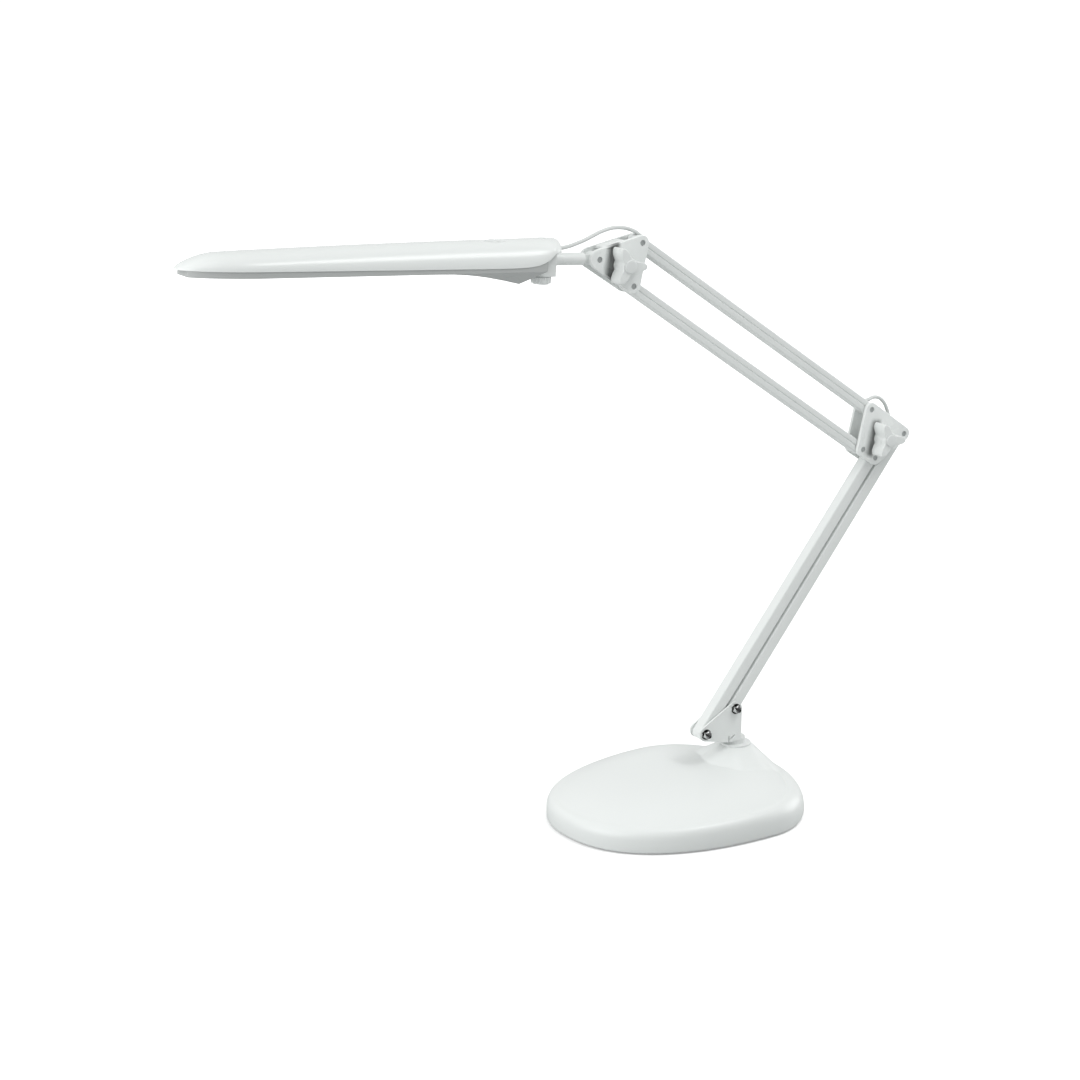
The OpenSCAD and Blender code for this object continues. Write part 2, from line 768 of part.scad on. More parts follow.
module lead_crown() {
    lead(lead_crown_pts, up_dir, crown_dir);
}
module lead_neck() {
    lead(lead_neck_pts, crown_dir, neck_dir);
}
module lead_rear() {
    lead(lead_rear_pts, neck_dir, crown_dir);
}

// ---------------------------------------------------------------- neck

// The head's own frame: origin just ahead of the tilt pin, -X to the nose, +Z up through the shell
module in_head() {
    translate([head_at[0], 0, head_at[1]]) rotate([0, head_pitch, 0]) children();
}

module neck_stem() {
    color("whitesmoke") difference() {
        union() {
            // eye between the casing's plates
            y_rod(tilt_at, 6.5, -side_in, side_in);
            in_head() {
                translate([-11, -4, -4]) cube([13, 8, 8]);
                translate([-10, 0, 0]) rotate([0, -90, 0]) cylinder(r = neck_r, h = swivel_s - 10);
                translate([-swivel_s, 0, clamp_low]) cylinder(r = clamp_block_r, h = clamp_top - clamp_low);
                translate([-swivel_s, -clamp_block_r, clamp_low]) cube([11, 2 * clamp_block_r, clamp_top - clamp_low]);
            }
        }
        y_rod(tilt_at, pin_r + fit, -20, 20);
        in_head() translate([-swivel_s, 0, clamp_low - 1]) cylinder(r = clamp_r + fit, h = 40);
    }
}

// Ribbed outline of the head's clamp knob
function knurl_outline(r, n) = [for (a = [0 : 3 : 357]) (r + 0.45 * cos(n * a)) * [cos(a), sin(a)]];

module clamp_knob() {
    color("gainsboro") in_head() translate([-swivel_s, 0, clamp_low - clamp_knob_h]) difference() {
        union() {
            translate([0, 0, 1]) linear_extrude(clamp_knob_h - 1.6) polygon(knurl_outline(8.8, 15));
            cylinder(r = 7, h = clamp_knob_h);
        }
        translate([0, 0, 2]) cylinder(r = clamp_r + fit, h = 20);
    }
}

// ---------------------------------------------------------------- head

// Half width, rim height and ridge height of the shell, s from the head's origin to the nose
function nose_t(s, l) = max(0, (s - head_nose + l) / l);
function head_half(s) =
    head_half_w * (s < tail_s ? sqrt(max(0, 1 - pow((tail_s - s) / (tail_s - head_rear), 2)))
        : sqrt(max(0, 1 - pow(nose_t(s, nose_l), 2))));
function rim_at(s) = s < 54 ? 8 : rim_h + (8 - rim_h) * exp(-(s - 54) / 10);
function ridge_at(s) =
    let (k = s - 55, full = head_top - 0.02 * k - 0.00004 * k * k, low = rim_at(s))
    low + (full - low) * pow(1 - pow(nose_t(s, brow_l), 1.6), 0.7);

shell_stations = concat(
    [for (d = [0.2, 0.8, 2, 4, 8, 14]) head_rear + d], [tail_s, 60, 65, 71, 79, 90, 110, 150, 200, 250, 300],
    [for (d = [66, 52, 40, 30, 21, 13, 7, 3, 0.8]) head_nose - d]);
inner_stations = [for (s = shell_stations) if (s > head_rear + head_wall && s < head_nose - 6) s];
frame_stations = concat([stern_s + 1], [for (d = [66, 60, 52, 46, 40, 35, 30, 25, 21, 17, 13, 10, 7]) head_nose - d]);

// Dome section of the shell from rim to rim, as points [x, y, z]
function shell_section(s, inset, drop) =
    let (w = max(head_half(s) - inset, 0.4), low = rim_at(s), h = max(ridge_at(s) - inset - low, 0.3))
    concat([for (a = [0 : 12 : 180])
        [-s, w * sign(cos(a)) * pow(abs(cos(a)), 0.86), low + h * pow(max(sin(a), 0), 0.86)]],
        drop > 0 ? [[-s, -w, low - drop], [-s, w, low - drop]] : []);

// Top of the boss for the screw q, inside the shell's wall
function shell_top(s, y) =
    let (c = pow(abs(y) / head_half(s), 1 / 0.86), low = rim_at(s))
    low + (ridge_at(s) - low) * pow(sqrt(1 - c * c), 0.86);
function boss_top(q) = shell_top(q[0] + 3, abs(q[1]) + 3) - 0.4;

module head_shell() {
    color("whitesmoke") in_head() difference() {
        union() {
            difference() {
                loft([for (s = shell_stations) shell_section(s, 0, 0)]);
                loft([for (s = inner_stations) shell_section(s, head_wall, 3)]);
            }
            for (q = head_screw_at) let (z = rim_at(q[0] - 3))
                translate([-q[0], q[1], z]) cylinder(r = 3, h = boss_top(q) - z);
        }
        for (q = head_screw_at) translate([-q[0], q[1], -20]) cylinder(r = 1.25, h = 19 + boss_top(q));
        // seat of the switch, hole over the spindle and hole for the lead
        translate([-switch_s, 0, 9]) cylinder(r = switch_r + 0.4, h = 30);
        translate([-swivel_s, 0, 12]) cylinder(r = 4 + fit, h = 30);
        translate([-head_rear - 4, 0, lead_hole_h]) rotate([0, 90, 0]) cylinder(r = lead_d / 2 + 0.4, h = 12);
    }
}

// Height of the lower moulding's underside along the head
function keel_at(s) =
    let (t = max(0, min(1, (keel_far - s) / (keel_far - keel_crest))))
    s < keel_crest ? keel_deep + (keel_crest - s) / (keel_crest - stern_s) * (keel_flat - 0.2 - keel_deep)
        : keel_flat + (keel_deep - keel_flat) * pow(t, 1.6);

// Outline of the lower moulding seen from above, and its side profile along the keel
frame_half = head_half_w - 0.7;
function nose_plan(side) = [for (s = frame_stations) [-s, side * (head_half(s) - 0.7)]];
function backwards(a) = [for (i = [len(a) - 1 : -1 : 0]) a[i]];
keel_top = [for (s = [stern_s, 65, 70, 76, 84, 94, keel_far]) [-s, rim_at(s) - 0.2]];
keel_low = [for (s = [keel_far, 152, 138, 126, 116, 106, 97, 88, keel_crest, stern_s]) [-s, keel_at(s)]];

module keel() {
    intersection() {
        translate([0, frame_half, 0]) rotate([90, 0, 0]) linear_extrude(2 * frame_half) polygon(concat(keel_top, keel_low));
        translate([-keel_far - 1, 0, 0]) rotate([90, 0, 90]) linear_extrude(keel_far) polygon([
            [frame_half, 3], [frame_half, keel_flat + 0.8], [10.7, keel_deep], [-10.7, keel_deep],
            [-frame_half, keel_flat + 0.8], [-frame_half, 3]
        ]);
    }
}

module head_frame() {
    color("gainsboro") in_head() difference() {
        union() {
            keel();
            translate([0, 0, keel_flat]) linear_extrude(rim_h - 0.2 - keel_flat)
                polygon(concat(nose_plan(1), backwards(nose_plan(-1))));
            // wall behind the keel and the floor over the clamp block
            translate([-stern_s - 1.5, -17, -7.5]) cube([2.5, 34, floor_h + floor_t + 7.5]);
            translate([-stern_s, -17, floor_h]) cube([stern_s - head_rear - 6, 34, floor_t]);
        }
        // window for the light panel
        translate([-window_far, -window_half, -20]) cube([window_far - window_near, 2 * window_half, 40]);
        // hollow of the keel
        translate([-driver_far - 1, -driver_half - gap, driver_low])
            cube([driver_far - driver_near + 2, 2 * driver_half + 2 * gap, 30]);
        translate([-swivel_s, 0, 0]) cylinder(r = clamp_r + fit, h = 30);
        for (q = head_screw_at) translate([-q[0], q[1], 0]) {
            translate([0, 0, -30]) cylinder(r = 2.6, h = 30 + q[2]);
            translate([0, 0, -30]) cylinder(r = 1.35, h = 40);
        }
    }
}

module head_spindle() {
    color("silver") in_head() translate([-swivel_s, 0, 0]) {
        z = clamp_low - clamp_knob_h + 2.5;
        translate([0, 0, z]) cylinder(r = clamp_r, h = floor_h + floor_t + 1 - z);
        translate([0, 0, floor_h + floor_t]) cylinder(r = 6.4, h = 3, $fn = 6);
    }
}

module head_diffuser() {
    color("white") in_head() translate([-window_far + gap, -window_half + gap, keel_flat + 0.2])
        cube([window_far - window_near - 2 * gap, 2 * window_half - 2 * gap, 2]);
}

// Circuit board of the light panel, lying on the lower moulding's ledges
module led_board() {
    color("white") in_head() translate([-board_far, -board_half, board_low])
        cube([board_far - board_near, 2 * board_half, board_t]);
}

// Light emitting chips in two rows under the board
module led_chips() {
    n = floor(chip_count / 2);
    pitch = (board_far - window_near - 8) / n;
    color("khaki") in_head() for (y = [-10, 10]) for (i = [0 : n - 1])
        translate([-window_near - 4 - pitch * (i + 0.5) - 1.75, y - 1.4, board_low - 0.7]) cube([3.5, 2.8, 0.7]);
}

// Aluminium sheet that spreads the panel's heat
module heat_spreader() {
    color("silver") in_head() translate([-board_far + 4, -spreader_half, board_low + board_t])
        cube([board_far - board_near - 8, 2 * spreader_half, spreader_t]);
}

module driver_board() {
    color("darkgreen") in_head() translate([-driver_far, -driver_half, driver_low])
        cube([driver_far - driver_near, 2 * driver_half, board_t]);
}

// Coil, capacitor and regulator on the driver board
module driver_parts() {
    color("dimgray") in_head() translate([-driver_near, 0, driver_low + board_t]) {
        translate([-9, 0, 0]) cylinder(r = 5, h = 7);
        translate([-21, 3, 0]) cylinder(r = 3.2, h = 9);
        translate([-32, -6, 0]) cube([7, 6, 2]);
    }
}

module head_screws() {
    color("silver") in_head() for (q = head_screw_at) translate([-q[0], q[1], 0]) difference() {
        union() {
            translate([0, 0, q[2] - 1.1]) cylinder(r = 2.4, h = 1.1);
            translate([0, 0, q[2] - 0.5]) cylinder(r = 1.2, h = min(boss_top(q) - 1.5 - q[2], 14) + 0.5);
        }
        translate([-1.6, -0.3, q[2] - 1.6]) cube([3.2, 0.6, 1]);
        translate([-0.3, -1.6, q[2] - 1.6]) cube([0.6, 3.2, 1]);
    }
}

// Cap over the spindle's hole in the shell
module spindle_cap() {
    color("gainsboro") in_head() translate([-swivel_s, 0, 15.6]) cylinder(r = 4, h = 3.6);
}

// Push switch hung under the shell, with a well that guides its button
module switch_body() {
    color("dimgray") in_head() difference() {
        translate([-switch_s - 10, -9, 9]) cube([20, 18, 5.9]);
        translate([-switch_s, 0, 11]) cylinder(r = switch_r + fit, h = 10);
    }
}

module switch_button() {
    color("gainsboro") in_head() translate([-switch_s, 0, 12.5]) cylinder(r = switch_r, h = switch_out - 12.5);
}

base_cover();
base_weight();
base_plate();
base_feet();
base_screws();
swivel_bush();
lead_gland();
lead_base();
swivel_spindle();
spindle_washer();
spindle_nut();
swivel_bracket();
lower_bolts();
lower_washers();
lower_nuts();
lead_foot();
lower_bar_front();
lower_front_sleeves();
lower_bar_rear();
lower_rear_sleeves();
lead_lower();
elbow_front_plate();
elbow_rear_plate();
elbow_pins();
elbow_bolt();
lead_elbow_in();
lead_elbow_out();
elbow_knob();
elbow_knob_cap();
upper_bar_top();
upper_top_sleeves();
upper_bar_bottom();
upper_bottom_sleeves();
lead_upper();
casing_front_plate();
casing_rear_plate();
casing_pins();
casing_bolt();
tilt_pin();
lead_crown();
casing_knob();
casing_knob_cap();
neck_stem();
lead_neck();
clamp_knob();
head_spindle();
head_shell();
head_frame();
head_diffuser();
led_board();
led_chips();
heat_spreader();
driver_board();
driver_parts();
head_screws();
spindle_cap();
lead_rear();
switch_body();
switch_button();
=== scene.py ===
import math
import bpy
import bmesh
import numpy as np
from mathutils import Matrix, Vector


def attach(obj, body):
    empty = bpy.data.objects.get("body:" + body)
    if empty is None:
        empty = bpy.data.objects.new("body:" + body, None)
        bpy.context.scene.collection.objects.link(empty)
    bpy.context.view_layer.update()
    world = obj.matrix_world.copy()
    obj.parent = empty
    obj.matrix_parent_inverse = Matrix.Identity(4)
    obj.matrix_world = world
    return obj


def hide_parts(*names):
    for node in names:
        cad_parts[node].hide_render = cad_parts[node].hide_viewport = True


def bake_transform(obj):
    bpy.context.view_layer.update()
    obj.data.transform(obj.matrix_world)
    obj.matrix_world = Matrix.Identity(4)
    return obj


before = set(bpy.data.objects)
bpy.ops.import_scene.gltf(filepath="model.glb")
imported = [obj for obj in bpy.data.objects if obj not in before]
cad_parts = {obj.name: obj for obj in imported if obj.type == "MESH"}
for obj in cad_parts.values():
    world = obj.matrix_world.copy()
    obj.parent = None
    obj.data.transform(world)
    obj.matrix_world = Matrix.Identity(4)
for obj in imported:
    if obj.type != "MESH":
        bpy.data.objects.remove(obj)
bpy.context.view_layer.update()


# ---- tools: meshes, sweeps and materials -------------------------------------------------

def piece(name, points, faces, material, smooth=True, angle=35):
    """Closed mesh from points in mm and faces, outward normals, creases sharper than angle kept."""
    mesh = bpy.data.meshes.new(name)
    mesh.from_pydata((np.asarray(points, float) * 0.001).tolist(), [], faces)
    work = bmesh.new()
    work.from_mesh(mesh)
    bmesh.ops.remove_doubles(work, verts=work.verts, dist=1e-7)
    bmesh.ops.recalc_face_normals(work, faces=work.faces)
    work.to_mesh(mesh)
    work.free()
    if smooth:
        mesh.shade_smooth()
        mesh.set_sharp_from_angle(angle=math.radians(angle))
    mesh.materials.append(material)
    obj = bpy.data.objects.new(name, mesh)
    bpy.context.scene.collection.objects.link(obj)
    return obj


def strip_faces(rows, cols, wrap=True):
    """Quads of a grid of rows x cols points, wrapping round the columns."""
    i = np.arange(rows - 1)[:, None] * cols
    j = np.arange(cols if wrap else cols - 1)[None, :]
    k = (j + 1) % cols
    return np.stack([i + j, i + k, i + cols + k, i + cols + j], axis=-1).reshape(-1, 4).tolist()


def loft(name, rings, material, smooth=True, angle=35):
    """Skin through rings (n, m, 3) of equal count, closed by a face at each end."""
    rings = np.asarray(rings, float)
    n, m = rings.shape[:2]
    faces = strip_faces(n, m)
    faces.append(list(range(m)))
    faces.append([(n - 1) * m + i for i in range(m)])
    return piece(name, rings.reshape(-1, 3), faces, material, smooth, angle)


def ring_loft(name, rings, material, smooth=True, angle=35):
    """Skin through rings that close on themselves in both ways, like a turned ring."""
    rings = np.asarray(rings, float)
    n, m = rings.shape[:2]
    faces = strip_faces(n + 1, m)
    faces = (np.asarray(faces) % (n * m)).tolist()
    return piece(name, rings.reshape(-1, 3), faces, material, smooth, angle)


def tube_rings(path, radius, sides=24, start=None, end=None):
    """Circles of the radius square to a path near the XZ plane."""
    path = np.asarray(path, float)
    t = np.gradient(path, axis=0)
    if start is not None:
        t[0] = start
    if end is not None:
        t[-1] = end
    t /= np.linalg.norm(t, axis=1)[:, None]
    u = np.cross(t, [0.0, 1.0, 0.0])
    u /= np.linalg.norm(u, axis=1)[:, None]
    w = np.cross(u, t)
    a = 2 * np.pi * np.arange(sides) / sides
    r = np.broadcast_to(radius, (len(path),))[:, None, None]
    across = np.cos(a)[None, :, None] * u[:, None, :] + np.sin(a)[None, :, None] * w[:, None, :]
    return path[:, None, :] + r * across


def turned(name, profile, place, material, sides=64, angle=35):
    """Solid turned from a profile of [radius, height] about an axis; place maps (x, y, h) to mm."""
    profile = np.asarray(profile, float)
    a = 2 * np.pi * np.arange(sides) / sides
    x = profile[:, 0][:, None] * np.cos(a)
    y = profile[:, 0][:, None] * np.sin(a)
    h = np.broadcast_to(profile[:, 1][:, None], x.shape)
    return loft(name, place(x, y, h), material, angle=angle)


def finished_copy(node, material, width, segments, angle=30):
    """Merged copy of a CAD node with rounded edges (width in mm) and its own material."""
    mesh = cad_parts[node].data.copy()
    work = bmesh.new()
    work.from_mesh(mesh)
    bmesh.ops.remove_doubles(work, verts=work.verts, dist=2e-6)
    bmesh.ops.dissolve_limit(work, angle_limit=math.radians(1.0), verts=work.verts, edges=work.edges)
    work.to_mesh(mesh)
    work.free()
    mesh.shade_smooth()
    mesh.set_sharp_from_angle(angle=math.radians(angle))
    mesh.materials.clear()
    mesh.materials.append(material)
    obj = bpy.data.objects.new(node + "_finish", mesh)
    bpy.context.scene.collection.objects.link(obj)
    bevel = obj.modifiers.new("edge", "BEVEL")
    bevel.width = width * 0.001
    bevel.segments = segments
    bevel.limit_method = "ANGLE"
    bevel.angle_limit = math.radians(angle)
    bevel.harden_normals = True
    return obj


def grain_group():
    """Shared skin effect: fine bump, and slow variation masks for roughness and tone."""
    group = bpy.data.node_groups.new("moulded_grain", "ShaderNodeTree")
    for socket, kind, value in (("Scale", "NodeSocketFloat", 900.0), ("Depth", "NodeSocketFloat", 0.1)):
        item = group.interface.new_socket(name=socket, in_out="INPUT", socket_type=kind)
        item.default_value = value
    group.interface.new_socket(name="Normal", in_out="OUTPUT", socket_type="NodeSocketVector")
    group.interface.new_socket(name="Mask", in_out="OUTPUT", socket_type="NodeSocketFloat")
    group.interface.new_socket(name="Slow", in_out="OUTPUT", socket_type="NodeSocketFloat")
    n, link = group.nodes, group.links.new
    inp, out = n.new("NodeGroupInput"), n.new("NodeGroupOutput")
    coords = n.new("ShaderNodeTexCoord")
    fine = n.new("ShaderNodeTexNoise")
    fine.inputs["Detail"].default_value = 2.0
    link(coords.outputs["Object"], fine.inputs["Vector"])
    link(inp.outputs["Scale"], fine.inputs["Scale"])
    mid = n.new("ShaderNodeTexNoise")
    mid.inputs["Scale"].default_value = 55.0
    mid.inputs["Detail"].default_value = 3.0
    link(coords.outputs["Object"], mid.inputs["Vector"])
    slow = n.new("ShaderNodeTexNoise")
    slow.inputs["Scale"].default_value = 7.0
    slow.inputs["Detail"].default_value = 2.0
    link(coords.outputs["Object"], slow.inputs["Vector"])
    bump = n.new("ShaderNodeBump")
    bump.inputs["Distance"].default_value = 0.0002
    link(inp.outputs["Depth"], bump.inputs["Strength"])
    link(fine.outputs["Fac"], bump.inputs["Height"])
    link(bump.outputs["Normal"], out.inputs["Normal"])
    link(mid.outputs["Fac"], out.inputs["Mask"])
    link(slow.outputs["Fac"], out.inputs["Slow"])
    return group


GRAIN = grain_group()


def skin(name, low, high, rough, grain=900.0, depth=0.1, metallic=0.0):
    """Principled material whose colour runs from low to high and whose roughness spans rough."""
    mat = bpy.data.materials.new(name)
    mat.use_nodes = True
    n, link = mat.node_tree.nodes, mat.node_tree.links.new
    shader = n["Principled BSDF"]
    effect = n.new("ShaderNodeGroup")
    effect.node_tree = GRAIN
    effect.inputs["Scale"].default_value = grain
    effect.inputs["Depth"].default_value = depth
    tone = n.new("ShaderNodeMix")
    tone.data_type = "RGBA"
    tone.inputs["A"].default_value = (*low, 1.0)
    tone.inputs["B"].default_value = (*high, 1.0)
    link(effect.outputs["Slow"], tone.inputs["Factor"])
    link(tone.outputs["Result"], shader.inputs["Base Color"])
    span = n.new("ShaderNodeMapRange")
    span.inputs["From Min"].default_value = 0.3
    span.inputs["From Max"].default_value = 0.7
    span.inputs["To Min"].default_value = rough[0]
    span.inputs["To Max"].default_value = rough[1]
    link(effect.outputs["Mask"], span.inputs["Value"])
    link(span.outputs["Result"], shader.inputs["Roughness"])
    link(effect.outputs["Normal"], shader.inputs["Normal"])
    shader.inputs["Metallic"].default_value = metallic
    return mat



def dress(material, *nodes):
    """Gives CAD nodes a material."""
    for name in nodes:
        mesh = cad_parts[name].data
        mesh.materials.clear()
        mesh.materials.append(material)


def assign(obj, body, node):
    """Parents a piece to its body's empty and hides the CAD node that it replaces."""
    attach(obj, body)
    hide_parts(node)


def smoothstep(a, b, x):
    t = np.clip((x - a) / (b - a), 0, 1)
    return t * t * (3 - 2 * t)


# ---- stage: camera, white surroundings, floor and soft lights -------------------------------

scene = bpy.context.scene
camera = bpy.data.objects.new("camera", bpy.data.cameras.new("camera"))
camera.data.sensor_width = 36.0
camera.data.lens = 76.07
camera.data.clip_end = 20.0
az, el, far = math.radians(-29.0), math.radians(14.4), 2.094
back = Vector((math.sin(az) * math.cos(el), -math.cos(az) * math.cos(el), math.sin(el)))
camera.location = Vector((-0.221, 0.0, 0.2885)) + back * far
camera.rotation_euler = back.to_track_quat("Z", "Y").to_euler()
scene.collection.objects.link(camera)
scene.camera = camera
scene.view_settings.view_transform = "Standard"

world = bpy.data.worlds.new("studio")
world.use_nodes = True
wn, wl = world.node_tree.nodes, world.node_tree.links.new
sky = wn["Background"]
sky.inputs["Color"].default_value = (0.985, 1.0, 0.995, 1.0)
height = wn.new("ShaderNodeSeparateXYZ")
wl(wn.new("ShaderNodeTexCoord").outputs["Generated"], height.inputs["Vector"])
fall = wn.new("ShaderNodeMapRange")
fall.inputs["From Min"].default_value = -1.0
fall.inputs["To Min"].default_value = 0.50
fall.inputs["To Max"].default_value = 0.80
wl(height.outputs["Z"], fall.inputs["Value"])
toward = wn.new("ShaderNodeVectorMath")
toward.operation = "DOT_PRODUCT"
toward.inputs[1].default_value = (math.sin(az), -math.cos(az), -0.2)
wl(height.inputs["Vector"].links[0].from_socket, toward.inputs[0])
dim = wn.new("ShaderNodeMapRange")
dim.inputs["From Min"].default_value = 0.3
dim.inputs["To Min"].default_value = 1.0
dim.inputs["To Max"].default_value = 0.5
wl(toward.outputs["Value"], dim.inputs["Value"])
level = wn.new("ShaderNodeMath")
level.operation = "MULTIPLY"
wl(fall.outputs["Result"], level.inputs[0])
wl(dim.outputs["Result"], level.inputs[1])
wl(level.outputs["Value"], sky.inputs["Strength"])
plain = wn.new("ShaderNodeBackground")
plain.inputs["Color"].default_value = (1.0, 1.0, 1.0, 1.0)
plain.inputs["Strength"].default_value = 1.05
choose = wn.new("ShaderNodeMixShader")
wl(wn.new("ShaderNodeLightPath").outputs["Is Camera Ray"], choose.inputs["Fac"])
wl(sky.outputs["Background"], choose.inputs[1])
wl(plain.outputs["Background"], choose.inputs[2])
wl(choose.outputs["Shader"], wn["World Output"].inputs["Surface"])
scene.world = world

floor_mat = bpy.data.materials.new("floor")
floor_mat.use_nodes = True
fn, fl = floor_mat.node_tree.nodes, floor_mat.node_tree.links.new
seen = fn["Principled BSDF"]
seen.inputs["Base Color"].default_value = (1.0, 1.0, 1.0, 1.0)
seen.inputs["Roughness"].default_value = 1.0
seen.inputs["Specular IOR Level"].default_value = 0.0
seen.inputs["Emission Color"].default_value = (1.0, 1.0, 1.0, 1.0)
away = fn.new("ShaderNodeVectorMath")
away.operation = "LENGTH"
fl(fn.new("ShaderNodeTexCoord").outputs["Object"], away.inputs[0])
glow = fn.new("ShaderNodeMapRange")
glow.inputs["From Min"].default_value = 0.3
glow.inputs["From Max"].default_value = 1.6
glow.inputs["To Min"].default_value = 0.22
glow.inputs["To Max"].default_value = 0.8
fl(away.outputs["Value"], glow.inputs["Value"])
fl(glow.outputs["Result"], seen.inputs["Emission Strength"])
bounce = fn.new("ShaderNodeBsdfDiffuse")
bounce.inputs["Color"].default_value = (0.52, 0.53, 0.53, 1.0)
mixed = fn.new("ShaderNodeMixShader")
fl(fn.new("ShaderNodeLightPath").outputs["Is Camera Ray"], mixed.inputs["Fac"])
fl(bounce.outputs["BSDF"], mixed.inputs[1])
fl(seen.outputs["BSDF"], mixed.inputs[2])
fl(mixed.outputs["Shader"], fn["Material Output"].inputs["Surface"])
floor = piece("floor", [[-9000, -9000, -0.2], [9000, -9000, -0.2], [9000, 9000, -0.2], [-9000, 9000, -0.2],
                        [-9000, -9000, -1], [9000, -9000, -1], [9000, 9000, -1], [-9000, 9000, -1]],
              [[0, 1, 2, 3], [4, 5, 6, 7], [0, 1, 5, 4], [1, 2, 6, 5], [2, 3, 7, 6], [3, 0, 4, 7]],
              floor_mat, smooth=False)
for name, place, size, watts in (
        ("key", (-2.3, -0.2, 0.75), 2.2, 33.0),
        ("top", (0.62, -0.95, 2.15), 0.8, 13.0),
        ("fill", (2.3, 0.0, 0.5), 1.6, 17.0)):
    lamp = bpy.data.lights.new(name, "AREA")
    lamp.size = size
    lamp.energy = watts
    obj = bpy.data.objects.new(name, lamp)
    obj.location = place
    obj.rotation_euler = (Vector(place) - Vector((-0.15, 0.0, 0.3))).to_track_quat("Z", "Y").to_euler()
    scene.collection.objects.link(obj)


# ---- base cover: one moulded or pressed cover, painted light grey-white, over the iron weight ----

cover_paint = skin("cover_paint", (0.775, 0.80, 0.79), (0.80, 0.82, 0.81), (0.32, 0.35),
                   grain=700, depth=0.05)


egg_front, egg_rear, egg_half = 168.0, 91.0, 110.0
swivel_back, base_turn = 37.0, math.radians(186.0)
shoulder, shoulder_z, lean, dome_rise = 9.0, 27.5, 0.025, 12.0
pedestal_top, pedestal_r, pedestal_foot, pedestal_flare = 54.0, 16.0, 36.0, 10.4


def egg_gauge(x, y):
    """1 on the egg outline, less inside: |x / length|^n + |y / half|^n with a blunter nose."""
    n = np.where(x > 0, 2.33, 1.82)
    return ((np.abs(x) / np.where(x > 0, egg_front, egg_rear)) ** n + (np.abs(y) / egg_half) ** n) ** (1 / n)


def rim_reach(angle):
    """Distance from the swivel axis to the egg outline at an angle from the nose, by halving."""
    c, s = np.cos(angle), np.sin(angle)
    lo, hi = np.zeros_like(angle), np.full_like(angle, 300.0)
    for _ in range(36):
        m = (lo + hi) / 2
        inside = egg_gauge(m * c - swivel_back, m * s) < 1
        lo, hi = np.where(inside, m, lo), np.where(inside, hi, m)
    return lo


def rim_grow(x, y):
    """How far the rim's rounding widens: 0 at the egg's nose, 1 at its rear."""
    return smoothstep(70.0, 145.0, np.degrees(np.abs(np.arctan2(y, x))))


def skin_height(x, y):
    """Cover height in the egg's own frame: dome 27.5 - 0.025x + 12(1 - f^4.5), f the share of the
    way to the shoulder; outside it the rim's rounding, a superellipse quarter 11 mm deep or more."""
    r = np.hypot(x, y)
    reach = r / np.maximum(egg_gauge(x, y), 1e-6)
    g = rim_grow(x, y)
    edge = shoulder * (1 + 1.4 * g)
    f = r / np.maximum(reach - edge, 1.0)
    v = np.clip((reach - r) / edge, 0, 1)
    drop = 11.0 * (1 + 1.2 * g) * (1 - np.sqrt(np.maximum(1 - (1 - v ** 0.87) ** 2, 0)))
    return shoulder_z - lean * x + np.where(f < 1, dome_rise * (1 - np.minimum(f, 1) ** 4.5), -drop)


def cover_rings(sides=288):
    """Rings from the lip up the rim, over dome and pedestal to the bore, and back underneath."""
    a = 2 * np.pi * np.arange(sides) / sides
    deg = np.degrees((a + np.pi) % (2 * np.pi) - np.pi)
    reach = rim_reach(a)
    d = np.stack([np.cos(a), np.sin(a)], axis=-1)
    tip = d * reach[:, None] - [swivel_back, 0.0]
    edge = shoulder * (1 + 1.4 * rim_grow(tip[:, 0], tip[:, 1]))
    foot = pedestal_foot + pedestal_flare * smoothstep(33.0, 65.0, np.abs(deg))

    def ring(r, z):
        r = np.broadcast_to(r, a.shape)
        return np.column_stack([d * r[:, None], np.broadcast_to(z, a.shape)])

    def height(r):
        return skin_height(d[:, 0] * r - swivel_back, d[:, 1] * r)

    foot_z = height(foot) - 2.0

    def over(r):
        skin_z = height(r)
        tent = foot_z + (pedestal_top - foot_z) * (foot - r) / (foot - pedestal_r)
        blend = 0.5
        return (skin_z + tent + np.sqrt((skin_z - tent) ** 2 + blend ** 2)) / 2

    wall_top = height(reach - 1e-3)
    rings = [ring(reach - 3.4, 1.2), ring(reach - 1.6, 1.2), ring(reach - 0.9, 1.5), ring(reach - 0.3, 2.4)]
    rings += [ring(reach, 3.4), ring(reach, wall_top - 1.0)]
    for q in np.linspace(0, np.pi / 2, 17):
        r = reach - edge * (1 - np.cos(q)) ** 1.15 - 1e-3
        rings.append(ring(r, height(r)))
    for t in np.linspace(0, 1, 44)[1:]:
        r = (reach - edge) * (1 - t) + (foot + 0.6) * t
        rings.append(ring(r, over(r)))
    for t in np.linspace(0, 1, 26)[1:]:
        r = (foot + 0.6) * (1 - t) + 16.4 * t
        rings.append(ring(r, np.minimum(over(r), pedestal_top - 0.6)))
    rings += [ring(pedestal_r - 0.1, pedestal_top - 0.25)]
    rings += [ring(r, pedestal_top) for r in (pedestal_r - 0.8, 12.0, 10.2)] + [ring(10.2, 30.0)]
    rings += [ring(19.0, 26.0), ring(30.0, 25.0)]
    for t in np.linspace(0, 1, 12):
        r = np.maximum(foot + 3, 31) * (1 - t) + (reach - edge - 3.0) * t
        rings.append(ring(r, height(r) - 2.6))
    rings.append(ring(reach - edge * 0.6 - 2.0, height(reach - edge * 0.6) - 3.5))
    rings += [ring(reach - 2.6, wall_top - 2.0), ring(reach - 2.6, 3.0)]
    rings = np.array(rings)
    c, s = math.cos(base_turn), math.sin(base_turn)
    x, y = rings[..., 0] * c - rings[..., 1] * s, rings[..., 0] * s + rings[..., 1] * c
    return np.stack([x, y, rings[..., 2]], axis=-1)


cover = ring_loft("cover", cover_rings(), cover_paint, angle=50)
assign(cover, "base", "base_cover")


